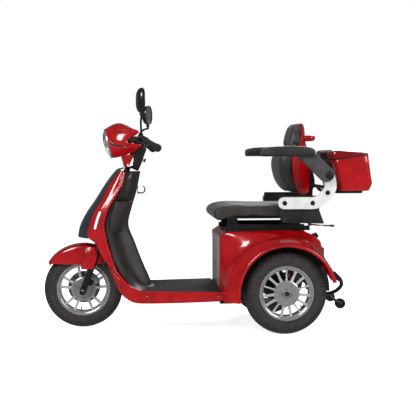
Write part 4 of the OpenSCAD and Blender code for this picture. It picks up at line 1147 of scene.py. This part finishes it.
def spring(r, wire, low, high, turns, per_turn=18):
    """A coil with flat closed ends, drawn as a wire swept up round the Z axis."""
    line = []
    for i in range(turns * per_turn + 1):
        share = i / (turns * per_turn)
        a = 2 * pi * i / per_turn
        rise = low + wire + (high - low - 2 * wire) * min(1, max(0, (share - 0.06) / 0.88))
        line.append((r * cos(a), r * sin(a), rise))
    return tube(line, wire, steps=1, sides=10)


for side, name in ((-1, "left"), (1, "right")):
    coil = shifted(spring(27, 3.6, 226, 469, 8), 1072, side * 180, 0)
    made = mesh_object("shock_spring_" + name, coil)
    shade(made.data, 50)
    made.data.materials.append(SPRING_STEEL[0])
    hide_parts("shock_springs")
    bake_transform(made)

# ---------- seat ----------

def closed_spline(outline, steps):
    n = len(outline)
    ring = [Vector((x, 0, z)) for x, z in outline]
    line = spline([ring[-1]] + ring + [ring[0], ring[1]], steps)
    return [(p.x, p.z) for p in line[steps:steps + n * steps]]


def pillow(outline, half, r, steps=4, crown=0.0, middle_y=0.0):
    """A cushion form: a side outline carried across its width, with its two ends rounded over by r.

    The crown pushes the middle of the cushion outwards from its centre.
    """
    ring = closed_spline(outline, steps)
    cx = sum(p[0] for p in ring) / len(ring)
    cz = sum(p[1] for p in ring) / len(ring)
    ends = [0, 0.06, 0.2, 0.42, 0.7, 1]
    across = [-half + r * e for e in ends] + [0] + [half - r * e for e in reversed(ends)]
    rows = []
    for y in across:
        d = min(1, (half - abs(y)) / r)
        inset = r * (1 - sqrt(1 - (1 - d) ** 2)) - crown * (1 - (y / half) ** 2)
        row = []
        for x, z in ring:
            away = Vector((x - cx, z - cz))
            size = away.length
            away *= max(0.1, size - inset) / size
            row.append((cx + away.x, y + middle_y, cz + away.y))
        rows.append(row)
    points, faces = sheet(rows, around=True)
    n = len(ring)
    return points, faces + [tuple(range(n - 1, -1, -1)), tuple(range(len(points) - n, len(points)))]


def stuffed(name, shape, finish, body, stands_for, cap, rests=lambda p: 1.0, voxel=6, angle=180):
    """A stuffed piece: remeshed evenly, swelled by cloth pressure up to the cap, and smoothed once.

    rests gives how freely each point (in millimetres from the front axle) may move, from 0 to 1.
    """
    obj = mesh_object(name, shape)
    voxels = obj.modifiers.new("voxels", "REMESH")
    voxels.mode = "VOXEL"
    voxels.voxel_size = voxel * MM
    settle(obj)
    start = [v.co.copy() for v in obj.data.vertices]
    cloth = obj.modifiers.new("swell", "CLOTH")
    cloth.settings.use_pressure = True
    cloth.settings.uniform_pressure_force = 4
    cloth.settings.effector_weights.gravity = 0
    cloth.point_cache.frame_start, cloth.point_cache.frame_end = 1, 20
    for step in range(1, 21):
        bpy.context.scene.frame_set(step)
    settle(obj)
    bpy.context.scene.frame_set(1)
    for vertex, before in zip(obj.data.vertices, start):
        move = vertex.co - before
        most = cap * MM * rests(from_frame(before))
        if move.length > most:
            vertex.co = before + move * (most / move.length)
    even = obj.modifiers.new("even", "SMOOTH")
    even.factor, even.iterations = 0.5, 3
    finer = obj.modifiers.new("finer", "SUBSURF")
    finer.levels = finer.render_levels = 1
    settle(obj)
    shade(obj.data, angle)
    material, slot = finish
    place(obj, material, body, stands_for)
    return obj


def on_surface(obj, points, lift=0.0):
    """The points moved on to the nearest place on a piece's surface, then lifted off it."""
    out = []
    for p in points:
        found, spot, normal, _ = obj.closest_point_on_mesh(at(p))
        out.append(from_frame(spot + normal * lift * MM) if found else Vector(p))
    return out


def seam(name, obj, points, r, finish, body, lift=0.0, steps=3):
    """A sewn seam or piping that follows a stuffed piece's surface."""
    return piece(name, tube(on_surface(obj, spline(points, steps), lift), r, steps=1, sides=10), finish, body)


SEAT_HALF = 219
SEAT_SIDE = [(688, 575), (672, 583), (664, 602), (670, 622), (696, 637), (746, 646), (800, 648), (920, 645),
             (1050, 646), (1150, 648), (1172, 636), (1174, 606), (1164, 594), (1050, 592), (900, 592), (770, 592),
             (722, 587), (698, 577)]


def seat_rest(p):
    return min(1.0, max(0.0, (p.z - 592) / 22)) if p.x > 735 else 1.0


seat = stuffed("seat_cushion_cover", pillow(SEAT_SIDE, SEAT_HALF, 26, crown=2), LEATHER, "seat", "seat_cushion", 7,
               seat_rest)
for side in (-1, 1):
    name = "left" if side < 0 else "right"
    seam("seat_top_piping_" + name, seat, [(1160, side * 207, 640), (1050, side * 208, 645), (900, side * 208, 645),
                                           (790, side * 208, 645), (720, side * 207, 639), (676, side * 206, 628),
                                           (658, side * 205, 606), (668, side * 204, 582)], 1.9, LEATHER, "seat", 0.6)
    seam("seat_side_seam_" + name, seat, [(1172, side * 219, 612), (1050, side * 220, 606), (900, side * 220, 606),
                                          (770, side * 220, 606), (700, side * 219, 600), (664, side * 214, 596)],
         1.1, LEATHER, "seat", 0.2)
seam("seat_front_seam", seat, [(741, y, 650) for y in range(-200, 201, 40)], 1.1, LEATHER, "seat", 0.1)

LOWER_BACK = [(1138, 716), (1106, 712), (1068, 736), (1040, 780), (1025, 842), (1028, 892), (1050, 922), (1096, 938),
              (1136, 944), (1138, 900), (1138, 800)]


def back_rest(p):
    return min(1.0, max(0.0, (1134 - p.x) / 24))


lower_back = stuffed("backrest_lower_cushion", pillow(LOWER_BACK, 150, 34, crown=3), LEATHER, "seat",
                     "backrest_cushions", 7, back_rest)
UPPER_BACK = [(1138, 953), (1112, 953), (1086, 957), (1090, 990), (1101, 1030), (1112, 1058), (1124, 1070),
              (1138, 1071), (1139, 1030), (1139, 990)]
upper_back = stuffed("backrest_upper_cushion", pillow(UPPER_BACK, 122, 26, crown=2), LEATHER, "seat",
                     "backrest_cushions", 6, back_rest, voxel=5)
for side in (-1, 1):
    name = "left" if side < 0 else "right"
    seam("lower_back_seam_" + name, lower_back,
         [(1112, side * 136, 722), (1060, side * 136, 744), (1028, side * 136, 786), (1008, side * 136, 845),
          (1013, side * 136, 890), (1042, side * 136, 918), (1096, side * 136, 934), (1130, side * 136, 940)],
         1.8, LEATHER, "seat", 0.5)
    seam("upper_back_piping_" + name, upper_back,
         [(1114, side * 112, 958), (1092, side * 111, 968), (1094, side * 111, 1000), (1103, side * 110, 1040),
          (1114, side * 108, 1060), (1132, side * 106, 1068)], 2.6, PIPING, "seat", 1.0)
seam("upper_back_top_piping", upper_back, [(1126, y, 1066) for y in range(-100, 101, 20)], 2.4, PIPING, "seat", 0.8)
seam("lower_back_channel", lower_back, [(1004, y, 842) for y in range(-135, 136, 27)], 1.2, LEATHER, "seat", -0.2)

SHELL_ROWS = [
    (700, 96, 1150, 1186), (706, 132, 1134, 1200), (722, 150, 1118, 1207), (780, 161, 1094, 1209),
    (850, 163, 1086, 1208), (905, 160, 1090, 1199), (940, 150, 1104, 1191), (964, 134, 1128, 1184),
    (985, 120, 1138, 1180), (1030, 113, 1141, 1176), (1060, 106, 1142, 1171), (1073, 94, 1145, 1164),
    (1077, 70, 1150, 1158),
]
shell = [[(x0 + (x1 - x0) * (1 - abs(s) ** 2.8), w * s, z) for s in
          (-1, -0.985, -0.94, -0.84, -0.62, -0.3, 0, 0.3, 0.62, 0.84, 0.94, 0.985, 1)] for z, w, x0, x1 in SHELL_ROWS]
piece("backrest_shell_moulding", curved(shell, 2, 4), RED, "seat", "backrest_shell", thick=3)
half_handle = [(1166, -70, 998), (1188, -76, 998), (1203, -72, 998), (1211, -58, 998), (1213, -30, 998)]
piece("backrest_grab_handle", tube(half_handle + [(1213, 0, 998)] + [(x, -y, z) for x, y, z in reversed(half_handle)],
                                   16, steps=8, sides=22), RED, "seat")

# Side covers, their screws and the slide release lever
cover = rounded([(1003, 636), (1002, 604), (1020, 562), (1238, 556), (1208, 636)], 8)
piece("seat_side_cover_pair", both(slab(cover, -245, -229)), SIDE_COVER, "seat", "seat_side_covers", bevel=4,
      segments=4)
piece("cover_screws", both(joined(*[spindle([(0, 1.8), (4.4, 1.6), (5.4, 0.4), (5.4, 0)], (x, -245, z), (0, -1, 0), 20)
                                    for x, z in ((1018, 622), (1034, 574), (1220, 570))])), STEEL, "seat")
piece("slide_release_lever", joined(
    tube([(1175, -180, 548), (1200, -214, 548), (1228, -236, 547), (1262, -241, 546), (1286, -242, 545)], 4,
         steps=8, sides=16),
    spindle([(0, -6), (9, -6), (10, -4), (10, 4), (9, 6), (0, 6)], (1175, -180, 548), (0, 0, 1), 28),
    tube([(1268, -241, 545.6), (1278, -241.6, 545.3), (1290, -242, 545)], 6, steps=6, sides=18)), STEEL,
    "slide_lever", "seat_lever")

# Armrest brackets: a white cover outside a black steel plate, with its bolts and cross tubes
BRACKET_PATH = [(1025, 663.5), (1110, 663.5), (1180, 664), (1212, 677), (1244, 706), (1264, 738), (1264, 770),
                (1256, 800)]
smooth_path = [(p.x, p.z) for p in spline([(x, 0, z) for x, z in BRACKET_PATH], 5)]
piece("bracket_covers", both(slab(band(smooth_path, 31), -262, -253)), WHITE_STEEL, "seat", "armrest_brackets",
      bevel=3.6, segments=4)
piece("bracket_plates", both(slab(band(smooth_path, 27), -253, -246.3)), BLACK_STEEL, "seat", bevel=1)


def hex_bolt(x, y, z, r=9):
    return joined(
        spindle([(0, 1.6), (r * 1.3, 1.6), (r * 1.35, 0.8), (r * 1.35, -0.4), (0, -0.4)], (x, y, z), (0, -1, 0), 32),
        spindle([(0, 7), (r * 0.8, 7), (r, 6), (r, 1.2), (0, 1.2)], (x, y, z), (0, -1, 0), 6))


piece("bracket_bolt_heads", both(joined(*[hex_bolt(x, -262, z) for x, z in
                                          ((1028, 663.5), (1172, 663.5), (1250, 716))])), BLACK_STEEL, "seat",
      "bracket_bolts", bevel=0.5)
boss = [(0, 19), (12, 18.6), (17, 17), (18, 14), (18, 0), (8.2, 0)]
piece("arm_pivot_ends", both(spindle(boss, (1254, -262 - 1, 805), (0, -1, 0), 40)), BLACK_PLASTIC, "seat")
rack = tube([(1272, -90, 738), (1278, -90, 726), (1290, -90, 716), (1310, -90, 713), (1400, -90, 713),
             (1470, -90, 713)], 8, sides=18)
piece("rack_tubes", joined(rod((1272, -246, 738), (1272, 246, 738), 10), both(rack),
                           rod((1470, -99, 713), (1470, 99, 713), 7)), BLACK_STEEL, "seat")

# Armrests
ARM_Y = 282
ARM_PIVOT = Vector((1254, 805))
# The arm's round lower end, just ahead of its pivot
ARM_END, ARM_END_R = Vector((1238, 811)), 40
end_arc = [(ARM_END.x + ARM_END_R * cos(radians(a)), ARM_END.y + ARM_END_R * sin(radians(a)))
           for a in range(225, 406, 10)]
arm_outline = [(1088, 909), (1108, 884), (1149, 841)] + end_arc + [(1216, 884), (1190, 909)]
PAD_SIDE = [(907, 909), (901, 923), (906, 939), (945, 948), (1018, 952), (1090, 951), (1146, 947), (1170, 938),
            (1178, 923), (1170, 909), (1100, 907), (1000, 907)]


def armrest(side, name):
    body, node = name + "_armrest", "armrest_" + name

    def at_side(shape):
        beside = shifted(shape, 0, -ARM_Y, 0)
        return beside if side < 0 else other_side(beside)

    base = slab(rounded([(904, 901), (1174, 901), (1180, 912), (904, 912)], 4), -27, 27)
    piece("arm_casting_" + name, at_side(slab(arm_outline, -9, 17.6)), ARM_CASTING, body, node, bevel=4, segments=4)
    piece("arm_pad_base_" + name, at_side(base), BLACK_PLASTIC, body, bevel=2.5, segments=3)
    cap = spindle([(0, 3), (16, 3), (20, 1.6), (21, 0), (21, -2), (0, -2)], (ARM_PIVOT.x, -9.5, ARM_PIVOT.y),
                  (0, -1, 0), 40)
    piece("arm_pivot_cap_" + name, at_side(cap), BLACK_PLASTIC, body)
    pad = stuffed("arm_pad_" + name, at_side(pillow(PAD_SIDE, 29, 11, crown=0.5)), ARM_LEATHER, body, node, 4,
                  lambda p: min(1.0, max(0.0, (p.z - 911) / 8)), voxel=4)
    line = [(908, 26, 930), (960, 27.5, 932), (1018, 28, 932), (1090, 28, 930), (1150, 27, 926), (1174, 22, 922)]
    for edge, place_name in ((-1, "in"), (1, "out")):
        points = [(x, -side * edge * y + side * ARM_Y, z) for x, y, z in line]
        seam("arm_pad_seam_" + name + "_" + place_name, pad, points, 1.0, ARM_LEATHER, body, 0.2)


armrest(-1, "left")
armrest(1, "right")

# ---------- top box ----------

def box_plan(z, x0, x1, half, corner):
    return [(x, y, z) for x, y in rounded([(x0, -half), (x1, -half), (x1, half), (x0, half)], corner, 6)]


BOX_LEVELS = [(721, 1346, 1470, 186, 16), (722, 1336, 1482, 196, 22), (727, 1331, 1489, 202, 26),
              (745, 1326.5, 1498, 205, 28), (765, 1322, 1504, 205, 28), (800, 1315, 1497, 205, 28),
              (850, 1305.5, 1487, 205, 28), (876, 1300, 1482, 205, 28), (879, 1302, 1480, 203, 26),
              (882, 1300, 1482, 205, 28), (885.5, 1299, 1481, 205, 28)]
SEAM_SLOPE = 0.155


def box_row(z, x0, x1, half, corner):
    """A level of the box, whose upper levels lean up to the rear as its seam with the lid does."""
    lean = SEAM_SLOPE * max(0, (z - 800) / 85)
    return [(x, y, z + lean * max(0, x - 1290)) for x, y, _ in box_plan(z, x0, x1, half, corner)]


box_sheet = sheet([box_row(*level) for level in BOX_LEVELS], around=True)
bottom = tuple(range(len(box_plan(*BOX_LEVELS[0]))))
piece("top_box_body", (box_sheet[0], box_sheet[1] + [bottom]), RED, "seat", "top_box", thick=3)


def lid_top(x):
    return 935 - max(0, x - 1330) * 0.1 - max(0, 1330 - x) * 0.05


def lid_seam(x):
    return 887 + SEAM_SLOPE * max(0, x - 1290) * 0.98


LID_LEVELS = [(0, 1289, 1480, 205, 26), (0.1, 1288, 1480.5, 205, 28), (0.5, 1285.5, 1477, 204, 28),
              (0.74, 1285, 1475, 202.5, 30), (0.88, 1287, 1472, 199, 32), (0.96, 1292, 1466, 192, 34),
              (1, 1302, 1456, 180, 34), (1.02, 1330, 1430, 140, 30), (1.03, 1370, 1390, 30, 8)]
lid_rows = []
for share, x0, x1, half, corner in LID_LEVELS:
    lid_rows.append([(x, y, lid_seam(x) + (lid_top(x) - lid_seam(x)) * share)
                     for x, y, _ in box_plan(0, x0, x1, half, corner)])
lid_sheet = sheet(lid_rows, around=True)
crown_start = len(lid_sheet[0]) - len(lid_rows[-1])
# The lid takes the darker copy of the red: painted shade over the top of the box.
piece("top_box_lid_moulding", (lid_sheet[0], lid_sheet[1] + [tuple(range(crown_start, len(lid_sheet[0])))]),
      LID_SHADED_RED, "box_lid", "top_box_lid", thick=3)
piece("top_box_seal", sheet([box_row(z, 1299 - d, 1481 + d, 205 + d, 28) for z, d in (
    (880.5, -2), (881, 0.6), (885.6, 0.6), (886, -2))], around=True), BLACK_PLASTIC, "seat")
piece("box_front_plate", joined(
    slab(rounded([(1326, 738), (1306, 868), (1301, 868), (1321, 738)], 1.4), -120, 120)), BLACK_PLASTIC, "seat",
    bevel=1)
piece("box_hinge_leaf", slab(band([(1290, 893), (1284, 918)], 7.6), -60, 60), BLACK_PLASTIC, "box_lid", bevel=1.2)
piece("box_hinge_knuckles", joined(*[rod((1290, y, 893), (1290, y + 26, 893), 6.5) for y in (-100, 74)]),
      BLACK_PLASTIC, "seat")
latch_side = rounded([(1478, 868), (1486, 866), (1486, 905), (1478, 906)], 3)
piece("box_latch", slab(latch_side, -22, 22), BLACK_PLASTIC, "box_lid", bevel=1.5)

# ---------- floor, light and camera ----------

ROOM_SEEN, ROOM_REFLECTED, ROOM_SOFT = 1.0, 0.1, 0.2    # how bright the room is, by the kind of ray
FLOOR_GLOW = 0.82                                       # keeps the floor near white out to its edge
# Soft lamps: name, place in metres, width in metres and power in watts
LAMPS = [("key", (-2.6, -3.4, 3.6), 2.0, 150), ("fill", (3.4, -2.8, 2.4), 2.2, 70),
         ("rear", (1.5, 3.4, 3.2), 2.2, 90)]


def studio():
    floor_mesh = bpy.data.meshes.new("studio_floor")
    floor_mesh.from_pydata([(-30, -30, 0), (30, -30, 0), (30, 30, 0), (-30, 30, 0)], [], [(0, 1, 2, 3)])
    floor = bpy.data.objects.new("studio_floor", floor_mesh)
    bpy.context.scene.collection.objects.link(floor)
    material, tree, shader, spot = surface("pale_studio_floor", Roughness=0.6, Emission_Strength=FLOOR_GLOW,
                                           Emission_Color=linear("#ffffff"))
    cloud = add(tree, "ShaderNodeTexNoise", {"Vector": spot, "Scale": 2.0, "Detail": 2})
    two_tones(tree, shader, cloud.outputs["Fac"], "#f3f3f3", "#f7f7f7")
    floor_mesh.materials.append(material)
    floor.visible_glossy = False
    world = bpy.data.worlds.new("studio")
    bpy.context.scene.world = world
    world.use_nodes = True
    background = world.node_tree.nodes["Background"]
    background.inputs["Color"].default_value = (1, 1, 1, 1)
    ray = add(world.node_tree, "ShaderNodeLightPath").outputs["Is Camera Ray"]
    soft = add(world.node_tree, "ShaderNodeLightPath").outputs["Is Diffuse Ray"]
    brightness = add(world.node_tree, "ShaderNodeMapRange",
                     {"Value": ray, "To Min": ROOM_REFLECTED, "To Max": ROOM_SEEN})
    lift = add(world.node_tree, "ShaderNodeMapRange", {"Value": soft, "To Min": 0.0, "To Max": ROOM_SOFT})
    total = add(world.node_tree, "ShaderNodeMath",
                {0: brightness.outputs["Result"], 1: lift.outputs["Result"]}, operation="ADD")
    world.node_tree.links.new(total.outputs["Value"], background.inputs["Strength"])
    for name, where, size, power in LAMPS:
        lamp = bpy.data.lights.new(name, "AREA")
        lamp.size = size
        lamp.energy = power
        holder = bpy.data.objects.new(name, lamp)
        holder.location = where
        holder.rotation_euler = (Vector((0, 0, 0.6)) - Vector(where)).to_track_quat("-Z", "Y").to_euler()
        bpy.context.scene.collection.objects.link(holder)


def camera():
    azimuth, elevation, distance = radians(-5.55), radians(3.44), 4.787
    target = Vector((0.011, 0, 0.6257))
    back = Vector((sin(azimuth) * cos(elevation), -cos(azimuth) * cos(elevation), sin(elevation)))
    lens_data = bpy.data.cameras.new("camera")
    lens_data.lens = 77.57
    lens_data.sensor_width = 36
    holder = bpy.data.objects.new("camera", lens_data)
    holder.location = target + back * distance
    holder.rotation_euler = (-back).to_track_quat("-Z", "Y").to_euler()
    bpy.context.scene.collection.objects.link(holder)
    bpy.context.scene.camera = holder


studio()
camera()
bpy.context.scene.view_settings.view_transform = "Standard"
